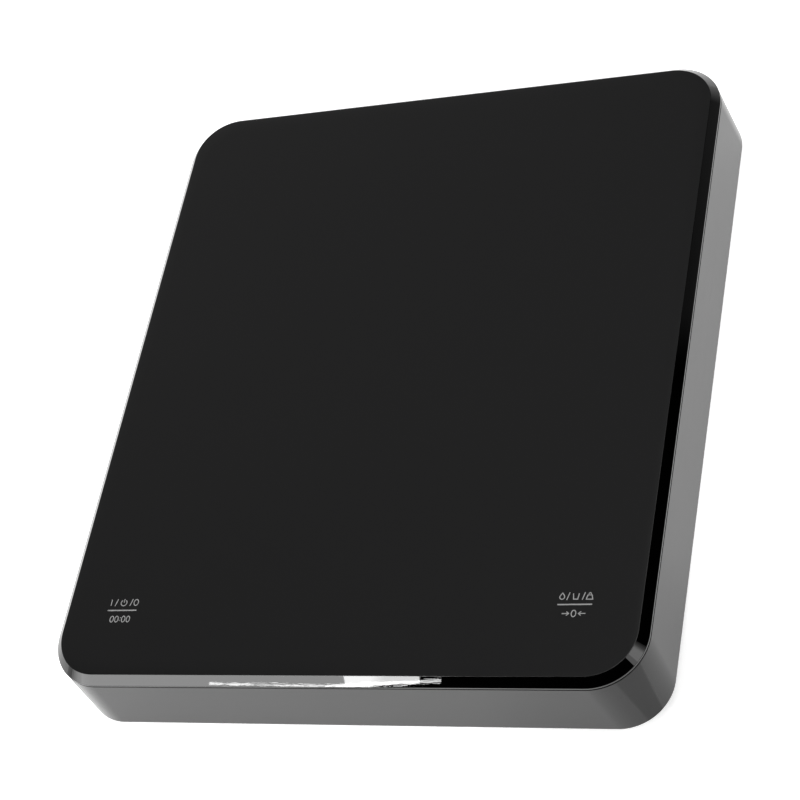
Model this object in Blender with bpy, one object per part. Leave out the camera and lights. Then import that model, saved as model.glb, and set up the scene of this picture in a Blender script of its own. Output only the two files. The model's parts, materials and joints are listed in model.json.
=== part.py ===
"""A compact kitchen scale, built from separate pieces.

The dark top panel is bonded to a housing that carries all the electronics. Panel and housing
together are the weighing platform. The platform stands on one end of a load cell, and the other
end of the cell is screwed to a base plate on four rubber feet.

Metres, +Z up. The side with the touch keys faces -Y. The origin is on the table, under the
middle of the scale. Heights are stacked from the table upwards, so a thicker piece lifts
everything that stands on it.
"""

import math

import bmesh
import bpy
from mathutils import Vector

MM = 0.001

# ---------------------------------------------------------------- platform: panel and housing
WIDTH = 131.3 * MM  # across the panel; the housing is SIDE_FLARE wider all round at its foot
DEPTH = 151.3 * MM
CORNER_RADIUS = 11.7 * MM
BEVEL_WIDTH = 1.75 * MM
BEVEL_DEPTH = 1.75 * MM
EDGE_LAND = 0.45 * MM
RIM_LOW = 2.2 * MM
SIDE_FLARE = 0.35 * MM
BOTTOM_CORNER_RADIUS = 10.5 * MM
BOTTOM_EDGE_RADIUS = 0.5 * MM
TOP_EDGE_RADIUS = 0.2 * MM
WALL = 2.2 * MM
DECK_THICKNESS = 1.5 * MM
RIM_WIDTH = 1.2 * MM
DECK_RIB_HEIGHT = 2.0 * MM
DECK_RIB_WIDTH = 1.2 * MM
DECK_RIB_PITCH = 16.0 * MM
ADHESIVE_THICKNESS = 0.5 * MM

# ---------------------------------------------------------------- clearances
SEAT_GAP = 0.3 * MM  # between pieces that rest on or in each other
WINDOW_GAP = 0.5 * MM  # round the display, the springs and the screw heads in the deck
FLOAT_GAP = 1.0 * MM  # round the base plate, so the platform floats free
BOARD_GAP = 1.5 * MM  # between a board's edge and the wall
PRESS_TRAVEL = 0.25 * MM  # how far a full load presses the platform down
STOP_GAP = PRESS_TRAVEL + 0.1 * MM  # between the overload pillars and their posts

# ---------------------------------------------------------------- load cell
CELL_LENGTH = 55.3 * MM
CELL_WIDTH = 12.7 * MM
CELL_HEIGHT = 9.0 * MM
BINOCULAR_RADIUS = 3.1 * MM
BINOCULAR_OFFSET = 6.0 * MM
BINOCULAR_SLOT = 1.6 * MM
CELL_HOLE_INSET = 5.0 * MM
CELL_HOLE_PITCH = 9.0 * MM
CELL_SCREW_RADIUS = 2.0 * MM
CELL_SCREW_GRIP = 5.0 * MM
CELL_SCREW_HEAD = (3.5 * MM, 0.9 * MM)  # radius and height
SPACER_LENGTH = 15.0 * MM
SPACER_THICKNESS = 0.6 * MM
GAUGE_COVER_LENGTH = 20.0 * MM
GAUGE_COVER_THICKNESS = 0.5 * MM

# ---------------------------------------------------------------- platform plate
PLATE_SIDE = 36.0 * MM
PLATE_THICKNESS = 1.0 * MM
PLATE_CORNER_RADIUS = 3.0 * MM
PLATE_SCREW_INSET = 4.5 * MM
PLATE_SCREW_RADIUS = 1.5 * MM
PLATE_SCREW_HEAD_RADIUS = 2.8 * MM
PLATE_SCREW_PROUD = 0.5 * MM
PLATE_SCREW_SINK = 0.1 * MM

# ---------------------------------------------------------------- main board and display
KEY_FROM_SIDE = 15.3 * MM
KEY_FROM_FRONT = 16.6 * MM
BOARD_PAST_KEY = 5.0 * MM
BOARD_DEPTH = 24.0 * MM
BOARD_THICKNESS = 1.0 * MM
BOARD_BELOW_DECK = 2.4 * MM
BOARD_CORNER_RADIUS = 1.5 * MM
DISPLAY_WIDTH = 58.0 * MM
DISPLAY_DEPTH = 16.0 * MM
FILTER_THICKNESS = 0.4 * MM
SPRING_RADIUS = 2.6 * MM
SPRING_WIRE_RADIUS = 0.3 * MM
SPRING_TURNS = 4
BOSS_RADIUS = 2.5 * MM
BOARD_SCREW_RADIUS = 1.0 * MM
BOARD_SCREW_HEAD = (1.9 * MM, 0.9 * MM)
BOARD_SCREW_INSET = 3.5 * MM
FRONT_SCREW_X = 34.0 * MM
BUZZER_RADIUS = 6.0 * MM
BUZZER_HEIGHT = 3.2 * MM
BUZZER_HOLE_RADIUS = 1.0 * MM
PROCESSOR_SIZE = (7.0 * MM, 7.0 * MM, 1.2 * MM)
PROCESSOR_X = 12.0 * MM
CONVERTER_SIZE = (4.0 * MM, 10.0 * MM, 1.5 * MM)
CONVERTER_X = -8.0 * MM
CHIPS_FORWARD = 2.0 * MM
CONNECTOR_SIZE = (8.0 * MM, 5.5 * MM, 3.0 * MM)

# ---------------------------------------------------------------- battery and charge board
BATTERY_SIZE = (30.0 * MM, 50.0 * MM, 5.2 * MM)
BATTERY_FROM_PLATE = 1.5 * MM
BATTERY_CORNER_RADIUS = 1.5 * MM
PAD_THICKNESS = 0.6 * MM
PAD_INSET = 4.0 * MM
CHARGE_BOARD_SIZE = (24.0 * MM, 16.0 * MM, 1.0 * MM)
SOCKET_SIZE = (9.0 * MM, 7.3 * MM, 3.2 * MM)
SOCKET_WALL = 0.3 * MM
SOCKET_RECESS = 0.5 * MM
SOCKET_BORE_DEPTH = 5.8 * MM
TONGUE_SIZE = (6.3 * MM, 5.4 * MM, 0.7 * MM)
CHARGER_CHIP_SIZE = (3.0 * MM, 3.0 * MM, 0.9 * MM)
CHARGE_PLUG_SIZE = (6.0 * MM, 4.0 * MM, 2.6 * MM)
LEAD_RADIUS = 0.9 * MM
LEAD_SAG = 2.5 * MM

# ---------------------------------------------------------------- base plate and feet
FOOT_STANDOFF = 2.3 * MM
FOOT_RADIUS = 6.0 * MM
FOOT_SEAT = 0.8 * MM
FOOT_CHAMFER = 0.4 * MM
FOOT_FROM_EDGE = 11.0 * MM
BASE_THICKNESS = 1.8 * MM
BASE_RIM_HEIGHT = 3.0 * MM
BASE_RIM_WIDTH = 1.5 * MM
BASE_RIB_HEIGHT = 2.0 * MM
BASE_RIB_WIDTH = 1.2 * MM
PILLAR_RADIUS = 3.0 * MM
PILLAR_HEIGHT = 8.0 * MM
PILLAR_FROM_WALL = 5.3 * MM
PILLAR_BEHIND_BOARD = 6.0 * MM
LABEL_SIZE = (46.0 * MM, 26.0 * MM, 0.15 * MM)
LABEL_RECESS = 0.5 * MM

ARC_STEPS = 8  # flats round each rounded corner
ROUND_STEPS = 24  # flats round a turned piece
SCREW_STEPS = 16  # flats round a screw
SPRING_STEPS = 12  # points on each turn of a key spring
OVAL_END = 0.98  # corner radius of a flat oval, as a share of half its height
CROSS_DEPTH_SHARE = 0.6  # of the head's height
CROSS_ARM_SHARE = 0.14  # half of an arm's width, as a share of the whole cross

# ---------------------------------------------------------------- heights, stacked from the table
BASE_LOW = FOOT_STANDOFF
BASE_HIGH = BASE_LOW + BASE_THICKNESS
LOWER_SPACER_LOW = BASE_HIGH + SEAT_GAP
CELL_LOW = LOWER_SPACER_LOW + SPACER_THICKNESS + SEAT_GAP
CELL_HIGH = CELL_LOW + CELL_HEIGHT
UPPER_SPACER_LOW = CELL_HIGH + SEAT_GAP
PLATE_LOW = UPPER_SPACER_LOW + SPACER_THICKNESS + SEAT_GAP
PLATE_HIGH = PLATE_LOW + PLATE_THICKNESS
DECK_LOW = PLATE_HIGH + SEAT_GAP
DECK_HIGH = DECK_LOW + DECK_THICKNESS
ADHESIVE_LOW = DECK_HIGH + SEAT_GAP
RIM_HIGH = ADHESIVE_LOW + ADHESIVE_THICKNESS
PANEL_LOW = RIM_HIGH + SEAT_GAP
BEVEL_LOW = PANEL_LOW + EDGE_LAND
PANEL_HIGH = BEVEL_LOW + BEVEL_DEPTH
BOARD_HIGH = DECK_LOW - BOARD_BELOW_DECK
BOARD_LOW = BOARD_HIGH - BOARD_THICKNESS
SOCKET_MIDDLE = (RIM_LOW + PANEL_LOW) / 2
CHARGE_BOARD_HIGH = SOCKET_MIDDLE - SOCKET_SIZE[2] / 2 - SEAT_GAP
CHARGE_BOARD_LOW = CHARGE_BOARD_HIGH - CHARGE_BOARD_SIZE[2]

# ---------------------------------------------------------------- places in plan
INNER_X = WIDTH / 2 + SIDE_FLARE - WALL
INNER_Y = DEPTH / 2 + SIDE_FLARE - WALL
INNER_RADIUS = BOTTOM_CORNER_RADIUS - WALL
BASE_X = INNER_X - FLOAT_GAP
BASE_Y = INNER_Y - FLOAT_GAP
BASE_RADIUS = INNER_RADIUS - FLOAT_GAP
KEY_X = WIDTH / 2 - KEY_FROM_SIDE
KEY_Y = KEY_FROM_FRONT - DEPTH / 2
BOARD_X = KEY_X + BOARD_PAST_KEY
BOARD_FRONT = BOARD_GAP - INNER_Y
BOARD_REAR = BOARD_FRONT + BOARD_DEPTH
BOARD_Y = (BOARD_FRONT + BOARD_REAR) / 2
CELL_HOLES = [CELL_LENGTH / 2 - CELL_HOLE_INSET - CELL_HOLE_PITCH * row for row in (0, 1)]
CLAMP_Y = sum(CELL_HOLES) / 2
BATTERY_X = PLATE_SIDE / 2 + BATTERY_FROM_PLATE + BATTERY_SIZE[0] / 2
CHARGE_BOARD_Y = INNER_Y - BOARD_GAP / 2 - CHARGE_BOARD_SIZE[1] / 2
PILLAR_X = INNER_X - PILLAR_FROM_WALL
PILLAR_Y = -(BOARD_REAR + PILLAR_BEHIND_BOARD)
FOOT_X = BASE_X - FOOT_FROM_EDGE
FOOT_Y = BASE_Y - FOOT_FROM_EDGE
CONNECTOR_Y = BOARD_REAR - CONNECTOR_SIZE[1] / 2 - SEAT_GAP
CONNECTOR_MIDDLE = BOARD_LOW - SEAT_GAP - CONNECTOR_SIZE[2] / 2
HEAD_POCKET = CELL_SCREW_HEAD[1] + SEAT_GAP
CELL_CONNECTOR_X = -(CELL_WIDTH / 2 + CONNECTOR_SIZE[0])
CHARGE_CONNECTOR_X = CELL_CONNECTOR_X - 2.5 * CONNECTOR_SIZE[0]

# Name, colour, roughness and metallic value of each finish
FINISHES = {
    "matte_panel": ((0.012, 0.012, 0.013), 0.45, 0.0),
    "satin_housing": ((0.016, 0.016, 0.017), 0.22, 0.0),
    "base_plastic": ((0.02, 0.02, 0.021), 0.5, 0.0),
    "foot_rubber": ((0.03, 0.03, 0.03), 0.85, 0.0),
    "adhesive": ((0.05, 0.05, 0.05), 0.6, 0.0),
    "smoked_film": ((0.03, 0.01, 0.01), 0.2, 0.0),
    "display_black": ((0.02, 0.02, 0.02), 0.35, 0.0),
    "board_green": ((0.02, 0.12, 0.05), 0.4, 0.0),
    "chip_black": ((0.02, 0.02, 0.02), 0.5, 0.0),
    "connector_white": ((0.75, 0.73, 0.66), 0.45, 0.0),
    "lead_grey": ((0.12, 0.12, 0.12), 0.5, 0.0),
    "battery_foil": ((0.55, 0.56, 0.58), 0.35, 0.8),
    "pad_white": ((0.8, 0.8, 0.78), 0.8, 0.0),
    "steel": ((0.55, 0.55, 0.56), 0.35, 1.0),
    "screw_steel": ((0.4, 0.4, 0.41), 0.3, 1.0),
    "aluminium": ((0.72, 0.73, 0.75), 0.4, 1.0),
    "silicone_white": ((0.8, 0.8, 0.78), 0.55, 0.0),
    "label_silver": ((0.35, 0.35, 0.36), 0.5, 0.0),
}


def clear_scene():
    for item in list(bpy.data.objects):
        bpy.data.objects.remove(item, do_unlink=True)


def give_finish(item, finish):
    """Gives an object a material of its own, in the named finish."""
    colour, roughness, metallic = FINISHES[finish]
    material = bpy.data.materials.new(f"{item.name}_{finish}")
    material.use_nodes = True
    shader = material.node_tree.nodes["Principled BSDF"]
    shader.inputs["Base Color"].default_value = (*colour, 1.0)
    shader.inputs["Roughness"].default_value = roughness
    shader.inputs["Metallic"].default_value = metallic
    item.data.materials.append(material)


def place(name, data, finish, body, location=(0.0, 0.0, 0.0)):
    """Links a new object, parents it to its body's empty and gives it its finish."""
    item = bpy.data.objects.new(name, data)
    bpy.context.scene.collection.objects.link(item)
    item.location = location
    item.parent = body
    if finish:
        give_finish(item, finish)
    else:
        item.hide_render = True
        item.display_type = "WIRE"
    return item


def mesh_from(name, bm):
    mesh = bpy.data.meshes.new(name)
    bmesh.ops.recalc_face_normals(bm, faces=bm.faces)
    bm.to_mesh(mesh)
    bm.free()
    return mesh


def rounded_outline(half_x, half_y, radius, steps=ARC_STEPS):
    """Points of a rectangle with rounded corners, counterclockwise from above."""
    points = []
    for quarter, (side_x, side_y) in enumerate([(1, 1), (-1, 1), (-1, -1), (1, -1)]):
        for step in range(steps + 1):
            angle = math.pi / 2 * (quarter + step / steps)
            x = side_x * (half_x - radius) + radius * math.cos(angle)
            y = side_y * (half_y - radius) + radius * math.sin(angle)
            points.append((x, y))
    return points


def stacked_mesh(name, levels):
    """A closed solid whose outline changes with height: levels are (outline, z), bottom up."""
    bm = bmesh.new()
    rings = []
    for outline, z in levels:
        verts = [bm.verts.new((x, y, z)) for x, y in outline]
        edges = [bm.edges.new((a, b)) for a, b in zip(verts, verts[1:] + verts[:1])]
        rings.append((verts, edges))
    for (_, below), (_, above) in zip(rings, rings[1:]):
        bmesh.ops.bridge_loops(bm, edges=below + above)
    bm.faces.new(rings[0][0])
    bm.faces.new(rings[-1][0])
    return mesh_from(name, bm)


def slab_mesh(name, half_x, half_y, radius, low, high):
    outline = rounded_outline(half_x, half_y, radius)
    return stacked_mesh(name, [(outline, low), (outline, high)])


def block_mesh(name, size):
    """A block about its own middle."""
    bm = bmesh.new()
    bmesh.ops.create_cube(bm, size=1.0)
    bmesh.ops.scale(bm, vec=Vector(size), verts=bm.verts)
    return mesh_from(name, bm)


def rod_mesh(name, radius, low, high, steps=ROUND_STEPS):
    bm = bmesh.new()
    bmesh.ops.create_cone(
        bm, cap_ends=True, segments=steps, radius1=radius, radius2=radius, depth=high - low
    )
    bmesh.ops.translate(bm, vec=Vector((0, 0, (low + high) / 2)), verts=bm.verts)
    return mesh_from(name, bm)


def turned(name, profile, finish, body, location, steps=ROUND_STEPS):
    """A turned piece. The profile's (radius, z) points run from the axis at the top, down the
    outer side and back to the axis."""
    bm = bmesh.new()
    verts = [bm.verts.new((radius, 0.0, z)) for radius, z in profile]
    for above, below in zip(verts, verts[1:]):
        bm.edges.new((above, below))
    mesh = bpy.data.meshes.new(name)
    bm.to_mesh(mesh)
    bm.free()
    item = place(name, mesh, finish, body, location)
    lathe = item.modifiers.new("lathe", "SCREW")
    lathe.steps = steps
    lathe.render_steps = steps
    lathe.use_merge_vertices = True
    lathe.merge_threshold = 0.01 * MM
    lathe.use_smooth_shade = True
    return item


def block(name, size, middle, finish, body):
    return place(name, block_mesh(name, size), finish, body, middle)


def slab(name, half_x, half_y, radius, low, high, finish, body, middle=(0.0, 0.0)):
    mesh = slab_mesh(name, half_x, half_y, radius, low, high)
    return place(name, mesh, finish, body, (middle[0], middle[1], 0.0))


def rod(name, radius, low, high, middle, finish, body, steps=ROUND_STEPS):
    mesh = rod_mesh(name, radius, low, high, steps)
    return place(name, mesh, finish, body, (middle[0], middle[1], 0.0))


def combine(item, other, operation):
    step = item.modifiers.new(other.name, "BOOLEAN")
    step.operation = operation
    step.solver = "EXACT"
    step.object = other


def cut(item, *cutters):
    for cutter in cutters:
        combine(item, cutter, "DIFFERENCE")


def join(item, *additions):
    for addition in additions:
        combine(item, addition, "UNION")


def cut_holes(item, name, radius, low, high, middles, body):
    """Round vertical holes through the item, one at each middle."""
    for number, middle in enumerate(middles, start=1):
        cut(item, rod(f"{name}_{number}", radius, low, high, middle, None, body))


def mirrored(x, y):
    """The four places at plus and minus x and y, from the front left, counterclockwise."""
    return [(-x, -y), (x, -y), (x, y), (-x, y)]


# ---------------------------------------------------------------- screws
def cross_recess(name, width, depth, top, body, location, flipped):
    """A cross-shaped cutter that reaches from just above the head down into it."""
    arm, half = width / 2, width * CROSS_ARM_SHARE
    outline = []
    for quarter in range(4):
        angle = math.pi / 2 * quarter
        for along, across in ((arm, -half), (arm, half), (half, half)):
            x = along * math.cos(angle) - across * math.sin(angle)
            y = along * math.sin(angle) + across * math.cos(angle)
            outline.append((x, y))
    mesh = stacked_mesh(name, [(outline, top - depth), (outline, top + depth)])
    cutter = place(name, mesh, None, body, location)
    cutter.rotation_euler.x = math.pi if flipped else 0.0
    return cutter


def pan_screw(name, head, radius, length, location, body, upwards=False):
    """A flat-topped screw, placed by the seat under its head. Upwards turns it point up."""
    head_radius, head_height = head
    profile = [
        (0.0, head_height),
        (head_radius - head_height / 4, head_height),
        (head_radius, head_height * 3 / 4),
        (head_radius, 0.0),
        (radius, 0.0),
        (radius, -length + radius / 2),
        (radius / 2, -length),
        (0.0, -length),
    ]
    item = turned(name, profile, "screw_steel", body, location, SCREW_STEPS)
    item.rotation_euler.x = math.pi if upwards else 0.0
    depth = head_height * CROSS_DEPTH_SHARE
    place_of = (head_height, body, location, upwards)
    cut(item, cross_recess(f"{name}_drive", head_radius, depth, *place_of))


def flat_screw(name, location, length, body):
    """A countersunk screw, placed by the flat top of its head."""
    cone = PLATE_SCREW_HEAD_RADIUS - PLATE_SCREW_RADIUS
    profile = [
        (0.0, 0.0),
        (PLATE_SCREW_HEAD_RADIUS, 0.0),
        (PLATE_SCREW_RADIUS, -cone),
        (PLATE_SCREW_RADIUS, -length),
        (0.0, -length),
    ]
    item = turned(name, profile, "screw_steel", body, location, SCREW_STEPS)
    depth = cone * CROSS_DEPTH_SHARE
    cut(item, cross_recess(f"{name}_drive", 2 * cone, depth, 0.0, body, location, False))


# ---------------------------------------------------------------- panel and what bonds it
def make_top_panel(platform):
    edge = rounded_outline(WIDTH / 2, DEPTH / 2, CORNER_RADIUS)
    face = rounded_outline(
        WIDTH / 2 - BEVEL_WIDTH, DEPTH / 2 - BEVEL_WIDTH, CORNER_RADIUS - BEVEL_WIDTH
    )
    levels = [(edge, PANEL_LOW), (edge, BEVEL_LOW), (face, PANEL_HIGH)]
    place("top_panel", stacked_mesh("top_panel", levels), "matte_panel", platform)


def display_window(name, low, high, platform):
    half_x = DISPLAY_WIDTH / 2 + WINDOW_GAP
    half_y = DISPLAY_DEPTH / 2 + WINDOW_GAP
    middle = (0.0, BOARD_Y, (low + high) / 2)
    return block(name, (2 * half_x, 2 * half_y, high - low), middle, None, platform)


def make_adhesive(platform):
    """A die-cut sheet with a window for the display and a hole for each key spring."""
    inset = RIM_WIDTH + SEAT_GAP
    sheet = slab(
        "panel_adhesive",
        WIDTH / 2 - inset,
        DEPTH / 2 - inset,
        CORNER_RADIUS - inset,
        ADHESIVE_LOW,
        RIM_HIGH,
        "adhesive",
        platform,
    )
    low, high = ADHESIVE_LOW - WINDOW_GAP, RIM_HIGH + WINDOW_GAP
    cut(sheet, display_window("adhesive_window", low, high, platform))
    keys = [(-KEY_X, KEY_Y), (KEY_X, KEY_Y)]
    reach = SPRING_RADIUS + SPRING_WIRE_RADIUS + WINDOW_GAP
    cut_holes(sheet, "adhesive_key_hole", reach, low, high, keys, platform)


# ---------------------------------------------------------------- housing
def side_level(z, inset):
    """The housing's outline at height z. The side leans out towards its foot, and inset draws
    the outline in."""
    share = (RIM_HIGH - z) / (RIM_HIGH - RIM_LOW)
    drawn_in = inset - SIDE_FLARE * share
    radius = CORNER_RADIUS + (BOTTOM_CORNER_RADIUS - CORNER_RADIUS) * share - inset
    return rounded_outline(WIDTH / 2 - drawn_in, DEPTH / 2 - drawn_in, radius), z


def side_levels():
    """The outer side, from the round bottom edge up to the small round at the rim."""
    levels = []
    for step in range(3):
        angle = math.pi / 4 * step
        inset = BOTTOM_EDGE_RADIUS * (1 - math.sin(angle))
        levels.append(side_level(RIM_LOW + BOTTOM_EDGE_RADIUS * (1 - math.cos(angle)), inset))
    levels.append(side_level(RIM_HIGH - TOP_EDGE_RADIUS, 0.0))
    levels.append(side_level(RIM_HIGH, TOP_EDGE_RADIUS))
    return levels


def board_screw_places():
    """Two screws behind the keys and two in front, beside the display."""
    rear_x = BOARD_X - BOARD_SCREW_INSET
    rear_y = BOARD_REAR - BOARD_SCREW_INSET
    front_y = BOARD_FRONT + BOARD_SCREW_INSET
    return [(-FRONT_SCREW_X, front_y), (FRONT_SCREW_X, front_y), (rear_x, rear_y), (-rear_x, rear_y)]


def charge_screw_places():
    x = CHARGE_BOARD_SIZE[0] / 2 - BOARD_SCREW_INSET
    y = CHARGE_BOARD_Y - CHARGE_BOARD_SIZE[1] / 2 + BOARD_SCREW_INSET
    return [(-x, y), (x, y)]


def plate_screw_places():
    reach = PLATE_SIDE / 2 - PLATE_SCREW_INSET
    return [(x, CLAMP_Y + y) for x, y in mirrored(reach, reach)]


def add_bosses(housing, name, middles, low, platform):
    """Round bosses that hang from the deck, each with a blind pilot hole."""
    sunk = DECK_LOW + DECK_THICKNESS / 2
    for number, middle in enumerate(middles, start=1):
        join(housing, rod(f"{name}_{number}", BOSS_RADIUS, low, sunk, middle, None, platform))
    pilot = BOARD_SCREW_RADIUS + SEAT_GAP
    cut_holes(housing, f"{name}_pilot", pilot, low - SEAT_GAP, sunk, middles, platform)


def cut_countersinks(housing, platform):
    """Cones that take the plate screws' heads below the deck's top."""
    head, shank = PLATE_SCREW_HEAD_RADIUS, PLATE_SCREW_RADIUS
    room = SEAT_GAP * math.sqrt(2)
    top = DECK_HIGH - PLATE_SCREW_SINK
    profile = [
        (0.0, DECK_HIGH + head),
        (head + room + PLATE_SCREW_SINK + head, DECK_HIGH + head),
        (shank + room, top - (head - shank)),
        (shank + room, DECK_LOW - SEAT_GAP),
        (0.0, DECK_LOW - SEAT_GAP),
    ]
    for number, (x, y) in enumerate(plate_screw_places(), start=1):
        cut(housing, turned(f"countersink_{number}", profile, None, platform, (x, y, 0.0)))


def add_deck_ribs(housing, platform):
    """Ribs under the deck: one from wall to wall behind the plate, and a row on the side that
    holds no battery."""
    sunk = DECK_LOW + DECK_THICKNESS / 2
    low = DECK_LOW - DECK_RIB_HEIGHT
    size = [2 * INNER_X + WALL, DECK_RIB_WIDTH, sunk - low]
    rear_y = CLAMP_Y + PLATE_SIDE / 2 + DECK_RIB_PITCH / 2
    join(housing, block("rear_rib", size, (0.0, rear_y, (sunk + low) / 2), None, platform))
    reach = INNER_X + WALL / 2 - PLATE_SIDE / 2 - FLOAT_GAP
    size[0] = reach
    middle_x = -(INNER_X + WALL / 2 - reach / 2)
    for number in range(3):
        middle = (middle_x, rear_y - (number + 1) * DECK_RIB_PITCH, (sunk + low) / 2)
        join(housing, block(f"side_rib_{number + 1}", size, middle, None, platform))


def make_housing(platform):
    housing = place(
        "housing", stacked_mesh("housing", side_levels()), "satin_housing", platform
    )
    below = slab(
        "housing_cavity", INNER_X, INNER_Y, INNER_RADIUS, RIM_LOW - WALL, DECK_LOW, None, platform
    )
    above = slab(
        "panel_recess",
        WIDTH / 2 - RIM_WIDTH,
        DEPTH / 2 - RIM_WIDTH,
        CORNER_RADIUS - RIM_WIDTH,
        DECK_HIGH,
        RIM_HIGH + WALL,
        None,
        platform,
    )
    cut(housing, below, above)
    add_deck_ribs(housing, platform)
    add_bosses(housing, "board_boss", board_screw_places(), BOARD_HIGH + SEAT_GAP, platform)
    add_bosses(
        housing, "charge_boss", charge_screw_places(), CHARGE_BOARD_HIGH + SEAT_GAP, platform
    )
    post_low = BASE_HIGH + PILLAR_HEIGHT + STOP_GAP
    sunk = DECK_LOW + DECK_THICKNESS / 2
    for number, middle in enumerate(mirrored(PILLAR_X, PILLAR_Y), start=1):
        join(housing, rod(f"stop_post_{number}", PILLAR_RADIUS, post_low, sunk, middle, None, platform))
    low, high = DECK_LOW - WINDOW_GAP, DECK_HIGH + WINDOW_GAP
    cut(housing, display_window("deck_window", low, high, platform))
    reach = SPRING_RADIUS + SPRING_WIRE_RADIUS + WINDOW_GAP
    keys = [(-KEY_X, KEY_Y), (KEY_X, KEY_Y)]
    cut_holes(housing, "deck_key_hole", reach, low, high, keys, platform)
    heads = [(0.0, y) for y in CELL_HOLES]
    cut_holes(
        housing, "deck_head_hole", CELL_SCREW_HEAD[0] + WINDOW_GAP, low, high, heads, platform
    )
    cut_countersinks(housing, platform)
    half_x = SOCKET_SIZE[0] / 2 + SEAT_GAP
    half_z = SOCKET_SIZE[2] / 2 + SEAT_GAP
    oval = (half_x, half_z, half_z * OVAL_END, -DEPTH, 0.0)
    mouth = slab("socket_mouth", *oval, None, platform)
    mouth.rotation_euler.x = math.pi / 2
    mouth.location = (0.0, INNER_Y - WALL, SOCKET_MIDDLE)
    cut(housing, mouth)


# ---------------------------------------------------------------- main board
def make_main_board(platform):
    board = slab(
        "main_board",
        BOARD_X,
        BOARD_DEPTH / 2,
        BOARD_CORNER_RADIUS,
        BOARD_LOW,
        BOARD_HIGH,
        "board_green",
        platform,
        (0.0, BOARD_Y),
    )
    hole = BOARD_SCREW_RADIUS + SEAT_GAP
    low, high = BOARD_LOW - SEAT_GAP, BOARD_HIGH + SEAT_GAP
    cut_holes(board, "board_hole", hole, low, high, board_screw_places(), platform)
    for number, (x, y) in enumerate(board_screw_places(), start=1):
        length = BOARD_THICKNESS + BOARD_BELOW_DECK + SEAT_GAP
        seat = (x, y, BOARD_LOW - SEAT_GAP)
        name = f"board_screw_{number}"
        pan_screw(name, BOARD_SCREW_HEAD, BOARD_SCREW_RADIUS, length, seat, platform, upwards=True)


def make_display(platform):
    low = BOARD_HIGH + SEAT_GAP
    size = (DISPLAY_WIDTH, DISPLAY_DEPTH, DECK_HIGH - low)
    block("led_display", size, (0.0, BOARD_Y, (low + DECK_HIGH) / 2), "display_black", platform)
    size = (DISPLAY_WIDTH, DISPLAY_DEPTH, FILTER_THICKNESS)
    middle = (0.0, BOARD_Y, ADHESIVE_LOW + FILTER_THICKNESS / 2)
    block("display_filter", size, middle, "smoked_film", platform)


def make_key_spring(name, x, platform):
    """A wire coil that stands on the board and reaches the panel behind a touch key."""
    low = BOARD_HIGH + SEAT_GAP + SPRING_WIRE_RADIUS
    high = PANEL_LOW - SEAT_GAP - SPRING_WIRE_RADIUS
    last = SPRING_TURNS * SPRING_STEPS
    points = []
    for step in range(last + 1):
        angle = 2 * math.pi * step / SPRING_STEPS
        rise = (high - low) * step / last
        ring = (SPRING_RADIUS * math.cos(angle), SPRING_RADIUS * math.sin(angle))
        points.append((x + ring[0], KEY_Y + ring[1], low + rise))
    wire(name, points, SPRING_WIRE_RADIUS, "steel", platform)


def make_board_parts(platform):
    """Chips, buzzer and connectors, all on the board's underside."""
    top = BOARD_LOW - SEAT_GAP
    row_y = BOARD_Y - CHIPS_FORWARD
    chips = {
        "processor_chip": (PROCESSOR_SIZE, PROCESSOR_X),
        "converter_chip": (CONVERTER_SIZE, CONVERTER_X),
    }
    for name, (size, x) in chips.items():
        block(name, size, (x, row_y, top - size[2] / 2), "chip_black", platform)
    profile = [
        (0.0, top),
        (BUZZER_RADIUS, top),
        (BUZZER_RADIUS, top - BUZZER_HEIGHT),
        (BUZZER_HOLE_RADIUS, top - BUZZER_HEIGHT),
        (BUZZER_HOLE_RADIUS, top - BUZZER_HEIGHT / 2),
        (0.0, top - BUZZER_HEIGHT / 2),
    ]
    spot = (-(DISPLAY_WIDTH / 2 - BUZZER_RADIUS), row_y, 0.0)
    turned("buzzer", profile, "chip_black", platform, spot)
    spots = {
        "cell_connector": CELL_CONNECTOR_X,
        "charge_connector": CHARGE_CONNECTOR_X,
        "battery_connector": BATTERY_X,
    }
    for name, x in spots.items():
        middle = (x, CONNECTOR_Y, CONNECTOR_MIDDLE)
        block(name, CONNECTOR_SIZE, middle, "connector_white", platform)


# ---------------------------------------------------------------- battery and charge board
def make_battery(platform):
    pad_high = DECK_LOW - SEAT_GAP
    pad_low = pad_high - PAD_THICKNESS
    half_x, half_y = BATTERY_SIZE[0] / 2, BATTERY_SIZE[1] / 2
    slab(
        "battery_pad",
        half_x - PAD_INSET,
        half_y - PAD_INSET,
        BATTERY_CORNER_RADIUS,
        pad_low,
        pad_high,
        "pad_white",
        platform,
        (BATTERY_X, 0.0),
    )
    high = pad_low - SEAT_GAP
    slab(
        "battery",
        half_x,
        half_y,
        BATTERY_CORNER_RADIUS,
        high - BATTERY_SIZE[2],
        high,
        "battery_foil",
        platform,
        (BATTERY_X, 0.0),
    )
    return high - BATTERY_SIZE[2] / 2


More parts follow.
